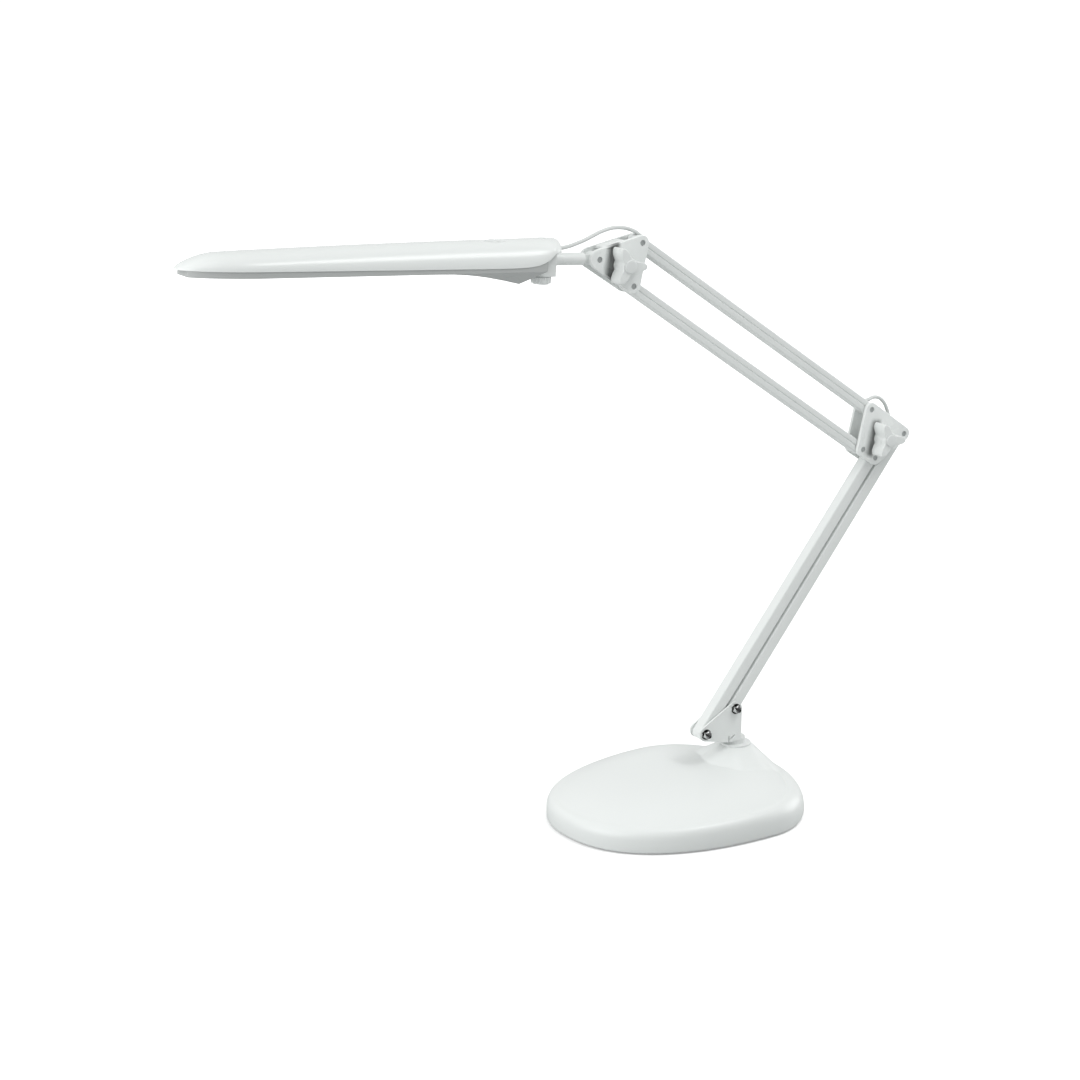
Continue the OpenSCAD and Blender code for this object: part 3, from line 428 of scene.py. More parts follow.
# ---- inside and under the base: iron weight, steel bottom plate, rubber feet, screws, gland ----

iron = skin("iron", (0.10, 0.10, 0.105), (0.16, 0.16, 0.165), (0.75, 0.9), grain=260, depth=0.8)
steel_sheet = skin("steel_sheet", (0.50, 0.51, 0.52), (0.58, 0.59, 0.60), (0.32, 0.5),
                   grain=1500, depth=0.1, metallic=1.0)
rubber = skin("rubber", (0.030, 0.030, 0.032), (0.05, 0.05, 0.052), (0.7, 0.85), grain=1400, depth=0.3)
plated = skin("plated", (0.56, 0.57, 0.58), (0.70, 0.71, 0.72), (0.14, 0.26),
              grain=1800, depth=0.06, metallic=1.0)
bearing = skin("bearing_plastic", (0.50, 0.52, 0.52), (0.56, 0.58, 0.58), (0.45, 0.55),
               grain=1200, depth=0.1)
dress(iron, "base_weight")
dress(steel_sheet, "base_plate")
dress(rubber, "base_feet")
dress(plated, "base_screws", "spindle_washer", "spindle_nut", "head_spindle", "head_screws")
dress(bearing, "lead_gland", "lower_front_sleeves", "lower_rear_sleeves",
      "upper_top_sleeves", "upper_bottom_sleeves")


# ---- swivel: a plastic bush pressed in the pedestal and the spindle's collar that turns on it ----

collar_plastic = skin("collar_plastic", (0.74, 0.76, 0.755), (0.79, 0.81, 0.80), (0.34, 0.45),
                      grain=1100, depth=0.08)


def upright(x, y, h):
    """Places a turned profile on the swivel axis."""
    return np.stack([x, y, h], axis=-1)


bush = turned("swivel_bush_ring",
              [[8.1, 26.0], [10.0, 26.0], [10.0, 54.0], [14.6, 54.0], [15.0, 54.3], [15.0, 55.5], [14.6, 56.0],
               [8.1, 56.0]],
              upright, collar_plastic)
assign(bush, "base", "swivel_bush")
collar = turned("swivel_collar",
                [[4.0, 17.0], [7.9, 17.0], [8.0, 17.2], [8.0, 56.0], [8.8, 56.0], [9.0, 56.2], [9.0, 59.8],
                 [8.8, 60.0], [4.0, 60.0]],
                upright, collar_plastic)
assign(collar, "bracket", "swivel_spindle")


# ---- bracket: a folded steel sheet, painted, two ears each side carry the lower bars' bolts ----

bar_paint = skin("bar_paint", (0.775, 0.80, 0.79), (0.81, 0.83, 0.82), (0.30, 0.33), grain=800, depth=0.05)
bracket = finished_copy("swivel_bracket", bar_paint, 0.35, 3)
assign(bracket, "bracket", "swivel_bracket")


# ---- bracket bolts: plated lock nuts on washers in front, round heads behind ----

chrome = skin("chrome", (0.82, 0.83, 0.83), (0.90, 0.91, 0.91), (0.08, 0.18),
              grain=1600, depth=0.05, metallic=1.0)
# painted reflection: the chrome's colour swings between near black and its own grey in bands set by the
# surface's direction, standing in for the surroundings mirrored in the nuts, washers and bolts
cn, cl = chrome.node_tree.nodes, chrome.node_tree.links.new
reflection_bands = cn.new("ShaderNodeVectorMath")
reflection_bands.operation = "DOT_PRODUCT"
reflection_bands.inputs[1].default_value = (5.0, 1.5, 7.5)
cl(cn.new("ShaderNodeTexCoord").outputs["Normal"], reflection_bands.inputs[0])
reflection_wave = cn.new("ShaderNodeMath")
reflection_wave.operation = "SINE"
cl(reflection_bands.outputs["Value"], reflection_wave.inputs[0])
painted_reflection = cn.new("ShaderNodeMapRange")
painted_reflection.inputs["From Min"].default_value = -0.5
painted_reflection.inputs["From Max"].default_value = 0.4
cl(reflection_wave.outputs["Value"], painted_reflection.inputs["Value"])
reflection_mix = cn.new("ShaderNodeMix")
reflection_mix.data_type = "RGBA"
reflection_mix.inputs["A"].default_value = (0.03, 0.03, 0.03, 1.0)
cl(cn["Principled BSDF"].inputs["Base Color"].links[0].from_socket, reflection_mix.inputs["B"])
cl(painted_reflection.outputs["Result"], reflection_mix.inputs["Factor"])
cl(reflection_mix.outputs["Result"], cn["Principled BSDF"].inputs["Base Color"])
# painted shade: a near-black material for the shade inside holes
painted_hole_shade = skin("painted_hole_shade", (0.02, 0.02, 0.022), (0.04, 0.04, 0.042), (0.5, 0.7),
                   grain=1200, depth=0.1)
foot_front, foot_rear = (-41.0, 72.5), (-6.894, 93.4)


def nut_rings(x, z, turn, sides=72):
    """Hexagon nut with a turned chamfer, its round nylon collar and the bolt's hollow end."""
    a = 2 * np.pi * np.arange(sides) / sides
    k = np.abs((a * 6 / (2 * np.pi)) % 1 - 0.5) * np.pi / 3
    hexagon = 4.6 * math.cos(math.pi / 6) / np.cos(k)
    rings = []
    for y, r in ((-10.2, hexagon * 0.995), (-10.4, hexagon), (-13.0, hexagon),
                 (-13.5, np.minimum(hexagon, 4.25)), (-13.6, np.full(sides, 3.95)),
                 (-14.1, np.full(sides, 3.6)), (-14.35, np.full(sides, 3.1)),
                 (-14.35, np.full(sides, 2.75)), (-13.9, np.full(sides, 2.6))):
        rings.append(np.column_stack([x + r * np.cos(a + turn), np.full(sides, y), z + r * np.sin(a + turn)]))
    return rings


for i, (x, z) in enumerate((foot_front, foot_rear)):
    nut = loft("lock_nut_%d" % i, nut_rings(x, z, 0.35), chrome)
    assign(nut, "bracket", "lower_nuts")

    def along(px, py, h, x=x, z=z):
        """Places a turned profile on this bolt's axis, height along y."""
        return np.stack([x + px, h, z + py], axis=-1)

    washer = turned("washer_%d" % i,
                    [[2.6, -9.2], [5.1, -9.2], [5.25, -9.35], [5.25, -10.0], [5.1, -10.2], [2.6, -10.2]],
                    along, chrome)
    assign(washer, "bracket", "lower_washers")
    bolt = turned("bolt_%d" % i,
                  [[1.5, -14.0], [2.2, -14.15], [2.4, -14.0], [2.45, -13.0], [2.45, 9.2], [4.1, 9.2],
                   [4.35, 9.5], [4.35, 11.4], [4.0, 12.0], [3.0, 12.4], [1.2, 12.5]],
                  along, chrome)
    # painted shade: a near-black disc on the bolt's front end stands in for the shade inside its hollow end
    socket = turned("bolt_socket_%d" % i, [[0.3, -13.95], [1.7, -13.95], [1.8, -14.3], [0.3, -14.3]],
                    along, painted_hole_shade, sides=24)
    for part in (bolt, socket):
        assign(part, "bracket", "lower_bolts")


# ---- arms: four square steel tubes, painted, round at their ends, slotted for the lead; the upper
# pair carries a shallow fold along the middle of each side face ----

elbow_low, elbow_up = (136.081, 338.063), (145.079, 377.038)
arm_length, bar_wide, bar_deep, bar_corner = 320.0, 6.3, 6.0, 1.6
slot_end, slot_half, slot_floor = 26.0, 2.6, 3.0


def bar_rings(start, angle, fold, ends):
    """Round-ended bar: a rounded section swept pin to pin, drawn in round both ends; ends lists
    the signs of the narrow faces that the lead's slots open (depth falls to 9 mm in a slot)."""
    q = np.linspace(0, np.pi / 2, 5)
    arc = np.column_stack([bar_wide - bar_corner * (1 - np.cos(q)), bar_deep - bar_corner * (1 - np.sin(q))])
    side = np.array([[bar_wide, 0.0], [bar_wide, 1.0], [bar_wide, 2.2]])
    if fold:
        side = np.array([[5.55, -0.1], [5.7, 0.35], [6.25, 0.8], [bar_wide, 1.6], [bar_wide, 2.8]])
    top = np.array([[3.6, bar_deep], [slot_half + 0.05, bar_deep], [slot_half, bar_deep], [1.2, bar_deep]])
    right = np.vstack([side, arc, top])
    upper = np.vstack([right, right[::-1] * [-1, 1]])
    section = np.vstack([upper, upper[::-1] * [1, -1]])
    end = np.concatenate([-1.0 - bar_deep * np.cos(np.linspace(0, np.pi / 2, 12)),
                          [-6.0, -5.9, -0.95, 0, 8, 16, slot_end - 0.1, slot_end]])
    s = np.unique(np.concatenate([end, np.linspace(40, 280, 13), arm_length - end]))
    along = np.minimum(s, arm_length - s)
    over = np.maximum(-1.0 - along, 0)
    shrink = np.sqrt(np.maximum(1 - (over / bar_deep) ** 2, 0.0004))
    ring = np.zeros((len(s), len(section), 3))
    ring[..., 0] = s[:, None]
    ring[..., 1] = section[None, :, 0]
    ring[..., 2] = section[None, :, 1] * shrink[:, None]
    slotted = (along > -5.95) & (along < slot_end - 0.05)
    in_slot = np.abs(section[:, 0]) <= slot_half + 0.01
    for sign in ends:
        pick = in_slot & (section[:, 1] * sign > 0)
        ring[np.ix_(slotted, pick, [2])] = -sign * slot_floor
    c, k = math.cos(angle), math.sin(angle)
    x = start[0] + ring[..., 0] * c - ring[..., 2] * k
    z = start[1] + ring[..., 0] * k + ring[..., 2] * c
    return np.stack([x, ring[..., 1], z], axis=-1)


lower_angle, upper_angle = math.radians(53.0), math.radians(180.0 - 34.0)
for node, start, angle, fold, ends, body in (
        ("lower_bar_front", foot_front, lower_angle, False, (), "lower_front_arm"),
        ("lower_bar_rear", foot_rear, lower_angle, False, (-1,), "lower_rear_arm"),
        ("upper_bar_top", elbow_up, upper_angle, True, (-1,), "upper_top_arm"),
        ("upper_bar_bottom", elbow_low, upper_angle, True, (), "upper_bottom_arm")):
    bar = loft(node + "_tube", bar_rings(start, angle, fold, ends), bar_paint, angle=28)
    assign(bar, body, node)


# ---- elbow and head casing: moulded plates joined across the bars by their pins; the front plates
# have a rounded rail, a trough beside the wing knob and countersunk pin holes ----

# casing plastic is lighter than the bars' paint and the shell: partly its own tone, partly painted light on the
# plates
casing_plastic = skin("casing_plastic", (0.84, 0.865, 0.855), (0.87, 0.89, 0.88), (0.26, 0.29),
                      grain=1300, depth=0.06)
shaded_plate_plastic = skin("shaded_plate_plastic", (0.84, 0.865, 0.855), (0.87, 0.89, 0.88), (0.26, 0.29),
                     grain=1300, depth=0.06)
# painted shade: the front plates' colour is mixed towards near black by the recess mask, darkening the trough
# beside each wing knob where shade falls
pn, pl = shaded_plate_plastic.node_tree.nodes, shaded_plate_plastic.node_tree.links.new
painted_shade_mask = pn.new("ShaderNodeAttribute")
painted_shade_mask.attribute_name = "recess_painted_shade"
shade = pn.new("ShaderNodeMix")
shade.data_type = "RGBA"
shade.inputs["B"].default_value = (0.12, 0.125, 0.125, 1.0)
pl(pn["Principled BSDF"].inputs["Base Color"].links[0].from_socket, shade.inputs["A"])
pl(painted_shade_mask.outputs["Fac"], shade.inputs["Factor"])
pl(shade.outputs["Result"], pn["Principled BSDF"].inputs["Base Color"])
pin_steel = skin("pin_steel", (0.40, 0.42, 0.42), (0.52, 0.54, 0.54), (0.3, 0.45),
                 grain=1500, depth=0.1, metallic=0.6)
dress(pin_steel, "elbow_pins", "casing_pins", "tilt_pin")
dress(plated, "elbow_bolt", "casing_bolt")


def ear_reach(points, radii, centre, angles):
    """Distance from a centre to the outline of the hull of circles, along each angle."""
    d = np.stack([np.cos(angles), np.sin(angles)], axis=-1)
    best = np.zeros(len(angles))
    for (px, pz), r in zip(points, radii):
        qx, qz = px - centre[0], pz - centre[1]
        along = d[:, 0] * qx + d[:, 1] * qz
        off = qx * qx + qz * qz - along ** 2
        best = np.maximum(best, np.where(off < r * r, along + np.sqrt(np.maximum(r * r - off, 0)), 0))
    n = len(points)
    for i in range(n):
        for j in range(n):
            if i == j:
                continue
            p, q, rp, rq = np.array(points[i]), np.array(points[j]), radii[i], radii[j]
            gap = np.linalg.norm(q - p)
            b = math.atan2(q[1] - p[1], q[0] - p[0]) - math.pi / 2 + math.asin((rp - rq) / gap)
            u = np.array([math.cos(b), math.sin(b)])
            a0, a1 = p + rp * u - centre, q + rq * u - centre
            e = a1 - a0
            den = d[:, 0] * e[1] - d[:, 1] * e[0]
            t = (a0[0] * e[1] - a0[1] * e[0]) / np.where(np.abs(den) < 1e-9, 1e-9, den)
            w = (a0[0] * d[:, 1] - a0[1] * d[:, 0]) / np.where(np.abs(den) < 1e-9, 1e-9, den)
            best = np.maximum(best, np.where((w >= 0) & (w <= 1) & (t > 0), t, 0))
    return best


def shaded(obj, depth):
    """Stores how deep each point of a front plate lies in its recess, as the mask that paints shade darkening
    the trough there.
    """
    co = np.empty(len(obj.data.vertices) * 3)
    obj.data.vertices.foreach_get("co", co)
    co = co.reshape(-1, 3) * 1000
    tone = obj.data.attributes.new("recess_painted_shade", "FLOAT", "POINT")
    tone.data.foreach_set("value", depth(co[:, 0], co[:, 2]) * (co[:, 1] < -7.2))


def plate_rings(points, radii, centre, face, back, height, sides=360, steps=44):
    """Moulded plate as rings round the clamp bolt: back face, rolled edge, modelled front, bolt hole.
    face and back are y of the two sides, height(x, z, edge) raises (+) or sinks (-) the front."""
    a = 2 * np.pi * np.arange(sides) / sides
    reach = ear_reach(points, radii, np.array(centre, float), a)
    c, s = np.cos(a), np.sin(a)
    out = -1.0 if face < back else 1.0

    def ring(r, y):
        return np.column_stack([centre[0] + r * c, np.broadcast_to(y, a.shape), centre[1] + r * s])

    rings = [ring(np.full(sides, 3.1), back), ring(reach - 0.4, back), ring(reach, back + out * 0.4)]
    for q in np.linspace(0, np.pi / 2, 6):
        r = reach - 1.1 * (1 - math.cos(q))
        x, z = centre[0] + r * c, centre[1] + r * s
        relief = height(x, z, reach - r) * math.sin(q)
        rings.append(ring(r, face - out * 1.1 * (1 - math.sin(q)) + out * relief))
    for t in np.linspace(0, 1, steps)[1:]:
        r = (reach - 1.1) * (1 - t) + 3.1 * t
        x, z = centre[0] + r * c, centre[1] + r * s
        rings.append(ring(r, face + out * height(x, z, reach - r)))
    return rings


def drilled(obj, places, radius, y0, y1):
    """Cuts round holes along y at places [x, z] through a closed mesh."""
    a = 2 * np.pi * np.arange(40) / 40
    faces, verts, base = [], [], 0
    for x, z in places:
        for y in (y0, y1):
            verts.append(np.column_stack([x + radius * np.cos(a), np.full(40, y), z + radius * np.sin(a)]))
        faces += (np.asarray(strip_faces(2, 40)) + base).tolist()
        faces += [list(range(base, base + 40)), list(range(base + 40, base + 80))]
        base += 80
    tool = piece(obj.name + "_drill", np.vstack(verts), faces, obj.data.materials[0], smooth=False)
    cut = obj.modifiers.new("holes", "BOOLEAN")
    cut.operation = "DIFFERENCE"
    cut.solver = "EXACT"
    cut.object = tool
    deps = bpy.context.evaluated_depsgraph_get()
    mesh = bpy.data.meshes.new_from_object(obj.evaluated_get(deps))
    obj.modifiers.remove(cut)
    obj.data = mesh
    bpy.data.objects.remove(tool)
    mesh.shade_smooth()
    mesh.set_sharp_from_angle(angle=math.radians(30))


elbow_a, elbow_b = (151.581, 328.063), (185.686, 348.963)
elbow_knob_at = (157.481, 347.463)
plate_face, plate_back, pin_hole_r = -10.5, -7.0, 2.75
trough_depth, dish_depth, dish_r = 2.7, 1.5, 12.0


def knob_dish(x, z, at):
    """Depth of the round dish that a wing knob turns in."""
    return dish_depth * (1 - smoothstep(dish_r - 1.5, dish_r, np.hypot(x - at[0], z - at[1])))


def elbow_trough(x, z):
    """Share of the trough's full depth: it runs beside the left rail and ends short of the top pin."""
    ux, uz = (elbow_up[0] - elbow_low[0]) / 40.0, (elbow_up[1] - elbow_low[1]) / 40.0
    v = (x - elbow_low[0]) * ux + (z - elbow_low[1]) * uz
    u = (x - elbow_low[0]) * uz - (z - elbow_low[1]) * ux
    run = smoothstep(-9, -3, v) * (1 - smoothstep(26, 34, v))
    return np.clip((u - 0.5) / 10.0, 0, 1) * (1 - smoothstep(13.0, 16.0, u)) * run


def elbow_relief(x, z, edge):
    """Rounded rail along the upper bars' side, then the trough, with a dish under the knob."""
    return -np.maximum(trough_depth * elbow_trough(x, z) * smoothstep(1.0, 3.0, edge),
                       knob_dish(x, z, elbow_knob_at))


elbow_points, elbow_radii = (elbow_a, elbow_b, elbow_up, elbow_low), (7.0, 7.0, 7.0, 7.0)
elbow_rings = plate_rings(elbow_points, elbow_radii, elbow_knob_at, plate_face, plate_back, elbow_relief)
elbow_front = ring_loft("elbow_front", elbow_rings, shaded_plate_plastic, angle=50)
drilled(elbow_front, elbow_points, pin_hole_r, -20, 0)
# painted shade: darkest along the elbow plate's trough
shaded(elbow_front, lambda x, z: 0.75 * elbow_trough(x, z) ** 1.2)
assign(elbow_front, "elbow", "elbow_front_plate")
elbow_rear = finished_copy("elbow_rear_plate", casing_plastic, 0.8, 3)
assign(elbow_rear, "elbow", "elbow_rear_plate")

head_low, head_up, tilt_at = (-129.211, 517.005), (-120.213, 555.980), (-165.211, 543.505)
casing_knob_at = (-142.711, 537.505)
head_at = (-167.211, 543.505)


def casing_trough(x, z):
    """Share of the trough's full depth between the tilt pin's ear and the wing knob."""
    u = x - tilt_at[0] - 0.12 * (z - tilt_at[1])
    return np.clip((u - 4.5) / 8.0, 0, 1) * (1 - smoothstep(17.0, 21.0, u))


def casing_relief(x, z, edge):
    """The trough, closed by a lip at top and bottom, and a dish under the knob."""
    return -np.maximum(trough_depth * casing_trough(x, z) * smoothstep(1.2, 3.2, edge),
                       knob_dish(x, z, casing_knob_at))


casing_points, casing_radii = (head_low, head_up, tilt_at), (7.0, 7.0, 9.5)
casing_rings = plate_rings(casing_points, casing_radii, casing_knob_at, plate_face, plate_back, casing_relief)
casing_front = ring_loft("casing_front", casing_rings, shaded_plate_plastic, angle=50)
drilled(casing_front, casing_points, pin_hole_r, -20, 0)
# painted shade: darkest along the casing plate's trough
shaded(casing_front, lambda x, z: 0.86 * casing_trough(x, z) ** 1.1)
assign(casing_front, "casing", "casing_front_plate")
casing_rear = finished_copy("casing_rear_plate", casing_plastic, 0.6, 3)
assign(casing_rear, "casing", "casing_rear_plate")


# ---- wing knobs: three-lobed moulded knobs with drafted sides, a thin round cap pressed in each ----

knob_plastic = skin("knob_plastic", (0.785, 0.81, 0.80), (0.815, 0.835, 0.825), (0.26, 0.29),
                    grain=1300, depth=0.06)
cap_plastic = skin("cap_plastic", (0.745, 0.77, 0.76), (0.77, 0.79, 0.785), (0.26, 0.34),
                   grain=1300, depth=0.05)


def knob_rings(at, sides=216):
    """Three narrow lobes at r = 18.5(0.42 + 0.58((1 + cos 3(a + 4 deg)) / 2)^2.8), front edge rolled over."""
    a = 2 * np.pi * np.arange(sides) / sides
    lobe = 18.5 * (0.42 + 0.58 * ((1 + np.cos(3 * (a + math.radians(4.0)))) / 2) ** 2.8)
    rings = []

    def ring(r, y):
        rings.append(np.column_stack([at[0] + r * np.cos(a), np.full(sides, y), at[1] + r * np.sin(a)]))

    ring(np.full(sides, 3.1), -9.0)
    ring(np.full(sides, 7.4), -9.0)
    ring(np.full(sides, 7.4), -11.0)
    ring(np.maximum(lobe - 0.5, 7.5), -11.0)
    ring(lobe, -11.5)
    ring(lobe - 0.15, -18.0)
    for q in np.linspace(0, np.pi / 2, 7):
        ring(lobe - 0.4 - 1.0 * (1 - math.cos(q)), -26.0 - 1.0 * math.sin(q))
    for t in (0.25, 0.5, 0.75):
        ring((lobe - 1.4) * (1 - t) + 4.0 * t, -27.0)
    ring(np.full(sides, 4.0), -27.0)
    ring(np.full(sides, 3.1), -25.0)
    return rings


for name, at, body in (
        ("elbow_knob", elbow_knob_at, "elbow_wing"),
        ("casing_knob", casing_knob_at, "casing_wing")):
    knob = ring_loft(name + "_wing", knob_rings(at), knob_plastic, angle=40)
    assign(knob, body, name)

    def front(px, py, h, at=at):
        """Places a turned profile on this knob's axis, height towards the viewer."""
        return np.stack([at[0] + px, -h, at[1] + py], axis=-1)

    cap = turned(name + "_disc",
                 [[1.0, 27.0], [5.8, 27.0], [6.0, 27.2], [6.0, 27.8], [5.8, 28.1], [5.1, 28.3], [3.0, 28.42],
                  [0.5, 28.45]],
                 front, cap_plastic)
    assign(cap, body, name + "_cap")


# ---- lead: one round two-core lead with a satin sheath, in nine lengths that meet where bodies meet ----

lead_plastic = skin("lead_plastic", (0.70, 0.72, 0.715), (0.75, 0.77, 0.76), (0.38, 0.48),
                    grain=1500, depth=0.08)
lead_r = 1.9
low_dir = (math.cos(lower_angle), 0.0, math.sin(lower_angle))
up_dir = (math.cos(upper_angle), 0.0, math.sin(upper_angle))
elbow_dir, crown_dir, neck_dir = (-0.3, 0.0, 0.954), (-1.0, 0.0, 0.0), (-0.958, 0.0, -0.287)


def near(p, offsets):
    """Route points in the arm plane, given from a pin p = (x, z)."""
    return [(p[0] + a, 0.0, p[1] + b) for a, b in offsets]


def guided(points, first, last, steps=8):
    """Smooth route whose ends leave along first and arrive along last."""
    p = np.asarray(points, float)
    before = p[1] - 2 * np.linalg.norm(p[1] - p[0]) * np.asarray(first)
    after = p[-2] + 2 * np.linalg.norm(p[-1] - p[-2]) * np.asarray(last)
    p = np.vstack([before, p, after])
    t = (np.arange(steps) / steps)[None, :, None]
    a, b, c, d = (p[i:len(p) - 3 + i][:, None, :] for i in range(4))
    curve = b + 0.5 * ((c - a) * t + (2 * a - 5 * b + 4 * c - d) * t ** 2 + (3 * b - a - 3 * c + d) * t ** 3)
    return np.vstack([curve.reshape(-1, 3), p[-2]])


base_route = [(47.7, 5, 12), (41.8, 4.4, 12), (31, 3.2, 11), (20, 2, 9.5), (10, 1, 9), (3, 0, 10.5),
              (0.3, 0, 15), (0, 0, 22), (0, 0, 30)]
foot_route = [(0, 0, 30), (0, 0, 45), (0, 0, 58), (0, 0, 66)] + near(foot_rear, [
    (6.3, -19.4), (6.1, -11.4), (6.6, -4.4), (8.3, 2.1), (10.9, 8.1), (14.9, 15.2), (19.9, 24.6)])
lower_route = near(foot_rear, [(19.9, 24.6), (22.9, 30.2)]) + near(elbow_b, [(-19.7, -26.6), (-16.7, -22.4)])
in_route = near(elbow_b, [(-16.7, -22.4), (-13.7, -15.5), (-10.1, -8), (-8.1, -1), (-8.4, 6), (-10.2, 12)])
out_route = near(elbow_b, [(-10.2, 12)]) + near(elbow_up, [
    (28.4, -10), (25.7, -2.5), (21.4, 4.5), (15.4, 9), (8.5, 10), (1.9, 7.9), (-4.9, 8.4), (-12.6, 11.4),
    (-23.1, 16.3)])
upper_route = near(elbow_up, [(-23.1, 16.3), (-28.1, 19.7)]) + near(head_up, [(28.2, -18.4), (23.2, -15)])
crown_route = near(head_up, [
    (23.2, -15), (14.7, -7.2), (9.6, -1.4), (4.6, 4.4), (-1.8, 9.2), (-9.8, 12.4), (-16.8, 13.8), (-23.3, 14.1)])
neck_route = near(head_up, [(-23.3, 14.1)]) + near(head_at, [
    (17.2, 25.9), (9.2, 23.9), (1.2, 20.9), (-6.8, 17.7), (-13.8, 15.4)])
rear_route = near(head_at, [(-13.8, 15.4), (-20.8, 13.4), (-27.8, 12), (-35.4, 11.3), (-40.8, 11.3)])
gland_dir = (-math.cos(math.radians(6)), -math.sin(math.radians(6)), 0.0)


for node, route, first, last, bodies, span in (
        ("lead_base", base_route, gland_dir, (0, 0, 1), ("base",), None),
        ("lead_foot", foot_route, (0, 0, 1), low_dir, ("bracket", "lower_rear_arm"), (4, 9)),
        ("lead_lower", lower_route, low_dir, low_dir, ("lower_rear_arm",), None),
        ("lead_elbow_in", in_route, low_dir, elbow_dir, ("lower_rear_arm", "elbow"), (0, 4)),
        ("lead_elbow_out", out_route, elbow_dir, up_dir, ("elbow", "upper_top_arm"), (2, 9)),
        ("lead_upper", upper_route, up_dir, up_dir, ("upper_top_arm",), None),
        ("lead_crown", crown_route, up_dir, crown_dir, ("upper_top_arm", "casing"), (0, 6)),
        ("lead_neck", neck_route, crown_dir, neck_dir, ("casing", "neck"), (1, 5)),
        ("lead_rear", rear_route, neck_dir, crown_dir, ("neck", "head"), (0, 3))):
    path = guided(route, first, last)
    lead = loft(node + "_sheath", tube_rings(path, lead_r, 24, first, last), lead_plastic, angle=60)
    if span is None:
        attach(lead, bodies[0])
    else:
        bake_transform(lead)
    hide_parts(node)


# ---- neck: a moulded stem with an eye on the tilt pin and a block that holds the head's spindle ----

neck = finished_copy("neck_stem", casing_plastic, 0.6, 3)
assign(neck, "neck", "neck_stem")

TILT = math.radians(3.0)


def in_head(points):
    """Points of the head's own frame (origin just before the tilt pin, -X to the nose) in row-frame mm."""
    p = np.asarray(points, float)
    x, z = p[..., 0], p[..., 2]
    return np.stack([head_at[0] + x * math.cos(TILT) + z * math.sin(TILT), p[..., 1],
                     head_at[1] - x * math.sin(TILT) + z * math.cos(TILT)], axis=-1)


def head_turned(s):
    """Placement for a profile turned about the head's upright axis at the distance s."""
    return lambda x, y, h: in_head(np.stack([x - s, y, h], axis=-1))


dress(cap_plastic, "clamp_knob", "spindle_cap")


# ---- head shell: a long moulded light-grey cover, domed across, with a dish for the switch ----

shell_rear, shell_tail, shell_nose, nose_long, half_wide = 38.5, 56.0, 396.0, 66.0, 29.0
shell_wall, switch_at = 1.8, 103.0
shell_plastic = skin("shell_plastic", (0.785, 0.81, 0.80), (0.81, 0.83, 0.82), (0.25, 0.27),
                     grain=1300, depth=0.05)


def head_half(s):
    """Half the head's width: round at the rear, a long ellipse at the nose."""
    rear = np.sqrt(np.clip(1 - ((shell_tail - s) / (shell_tail - shell_rear)) ** 2, 0, 1))
    nose = np.sqrt(np.clip(1 - np.maximum(0, (s - shell_nose + nose_long) / nose_long) ** 2, 0, 1))
    return half_wide * np.where(s < shell_tail, rear, nose)


def rim_at(s):
    """Height of the shell's rim, swept up at the rear."""
    return np.where(s < 54, 8.0, -4.6 + 12.6 * np.exp(-(s - 54) / 10))


def ridge_at(s):
    """Height of the shell's ridge, falling to the rim over the last 36 mm."""
    k = s - 55
    full = 18.8 - 0.02 * k - 0.00004 * k * k
    nose = np.maximum(0, (s - 360) / 36)
    low = rim_at(s)
    top = low + (full - low) * np.maximum(1 - nose ** 1.6, 0) ** 0.7
    rear = np.clip((42.5 - s) / 4.0, 0, 1)
    return top - 2.6 * (1 - np.sqrt(1 - rear ** 2))


def shell_rings(inset):
    """Dome sections from rim to rim along the head; the dish is sunk round the switch."""
    tail = shell_rear + (shell_tail - shell_rear) * (1 - np.cos(np.linspace(0.06, np.pi / 2, 20)))
    nose = shell_nose - nose_long * (1 - np.sin(np.linspace(0, np.pi / 2 - 0.04, 40)))
    s = np.concatenate([tail, np.arange(58, 86, 2.0), np.arange(86, 120, 0.8), np.arange(120, 330, 3.0), nose])
    a = np.linspace(0, np.pi, 65)
    w = np.maximum(head_half(s) - inset, 0.2)[:, None]
    low = rim_at(s)[:, None]
    h = np.maximum(ridge_at(s)[:, None] - inset - low, 0.15)
    y = w * np.sign(np.cos(a)) * np.abs(np.cos(a)) ** 0.86
    z = low + h * np.sin(a).clip(0, 1) ** 0.86
    d = np.hypot((s[:, None] - switch_at) / 1.15, y)
    z = z - 1.6 * (1 - smoothstep(7.5, 12.5, d)) * (z > low)
    return np.stack([np.broadcast_to(-s[:, None], y.shape), y, z], axis=-1)


outer, inner = shell_rings(0.0), shell_rings(shell_wall)
shell_section = np.concatenate([outer, inner[:, ::-1]], axis=1)
shell = loft("shell", in_head(shell_section), shell_plastic, angle=60)
assign(shell, "head", "head_shell")

button_plastic = skin("button_plastic", (0.70, 0.72, 0.715), (0.74, 0.76, 0.75), (0.3, 0.38),
                      grain=1300, depth=0.05)
button = turned("switch_button_dome",
                [[0.8, 12.2], [6.6, 12.2], [6.95, 12.4], [7.0, 15.6], [6.85, 16.2], [6.3, 16.8], [5.0, 17.5],
                 [3.0, 18.0], [0.8, 18.2]],
                head_turned(switch_at), button_plastic)
assign(button, "button", "switch_button")
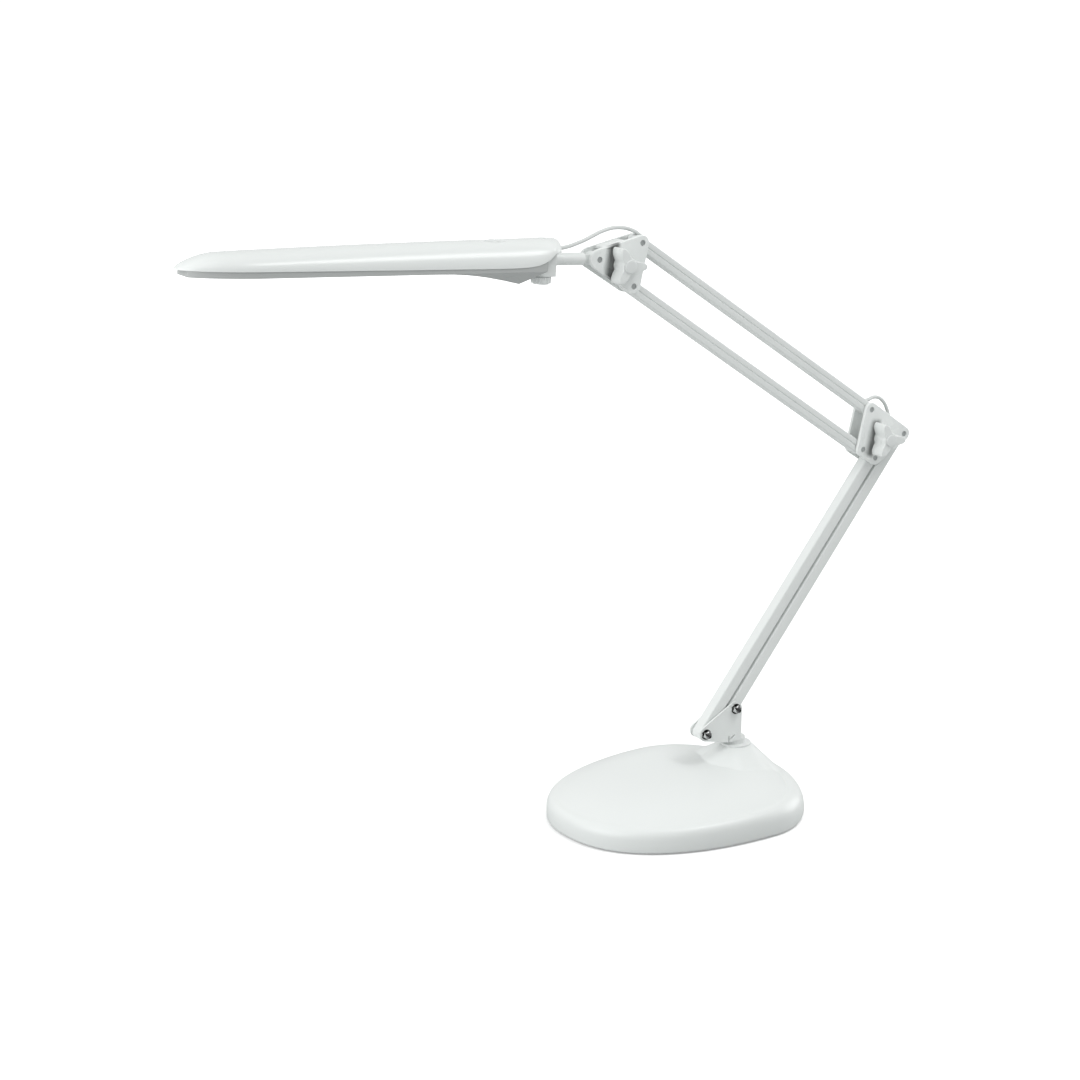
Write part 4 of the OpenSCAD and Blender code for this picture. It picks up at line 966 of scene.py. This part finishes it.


# ---- head frame: the lower moulding with the side strip, the keel over the driver and the window ----

# frame plastic: a grey darker than the shell, deepened as painted shade for the underside below the shell's rim
frame_plastic = skin("frame_plastic", (0.44, 0.455, 0.45), (0.48, 0.495, 0.49), (0.34, 0.42),
                     grain=1300, depth=0.06)
lower_frame = finished_copy("head_frame", frame_plastic, 0.5, 2)


def deepened(mesh, more=2.3):
    """Lets the strip along the panel hang lower, fading out over the keel."""
    co = np.empty(len(mesh.vertices) * 3)
    mesh.vertices.foreach_get("co", co)
    co = co.reshape(-1, 3) * 1000 - [head_at[0], 0.0, head_at[1]]
    s = -(co[:, 0] * math.cos(TILT) - co[:, 2] * math.sin(TILT))
    low = co[:, 0] * math.sin(TILT) + co[:, 2] * math.cos(TILT) < -7.0
    drop = more * smoothstep(115.0, 215.0, s) * low
    co += [head_at[0], 0.0, head_at[1]]
    co[:, 0] -= drop * math.sin(TILT)
    co[:, 2] -= drop * math.cos(TILT)
    mesh.vertices.foreach_set("co", (co * 0.001).ravel())


deepened(lower_frame.data)
assign(lower_frame, "head", "head_frame")


# ---- light panel and electronics inside the head, seen from below and with the head open ----

diffuser = skin("diffuser", (0.88, 0.89, 0.885), (0.91, 0.92, 0.915), (0.45, 0.55), grain=1200, depth=0.1)
diffuser.node_tree.nodes["Principled BSDF"].inputs["Transmission Weight"].default_value = 0.35
solder_mask = skin("solder_mask", (0.82, 0.83, 0.82), (0.87, 0.88, 0.87), (0.3, 0.4),
                   grain=1500, depth=0.05)
phosphor = skin("phosphor", (0.75, 0.62, 0.20), (0.82, 0.70, 0.28), (0.3, 0.4), grain=1500, depth=0.05)
bare_aluminium = skin("bare_aluminium", (0.60, 0.61, 0.62), (0.68, 0.69, 0.70), (0.3, 0.45),
                      grain=1500, depth=0.1, metallic=1.0)
green_board = skin("green_board", (0.03, 0.14, 0.07), (0.045, 0.18, 0.09), (0.3, 0.4),
                   grain=1500, depth=0.05)
dark_parts = skin("dark_parts", (0.035, 0.035, 0.04), (0.06, 0.06, 0.065), (0.4, 0.5),
                  grain=1200, depth=0.1)
dress(diffuser, "head_diffuser")
dress(solder_mask, "led_board")
dress(phosphor, "led_chips")
dress(bare_aluminium, "heat_spreader")
dress(green_board, "driver_board")
dress(dark_parts, "driver_parts", "switch_body")
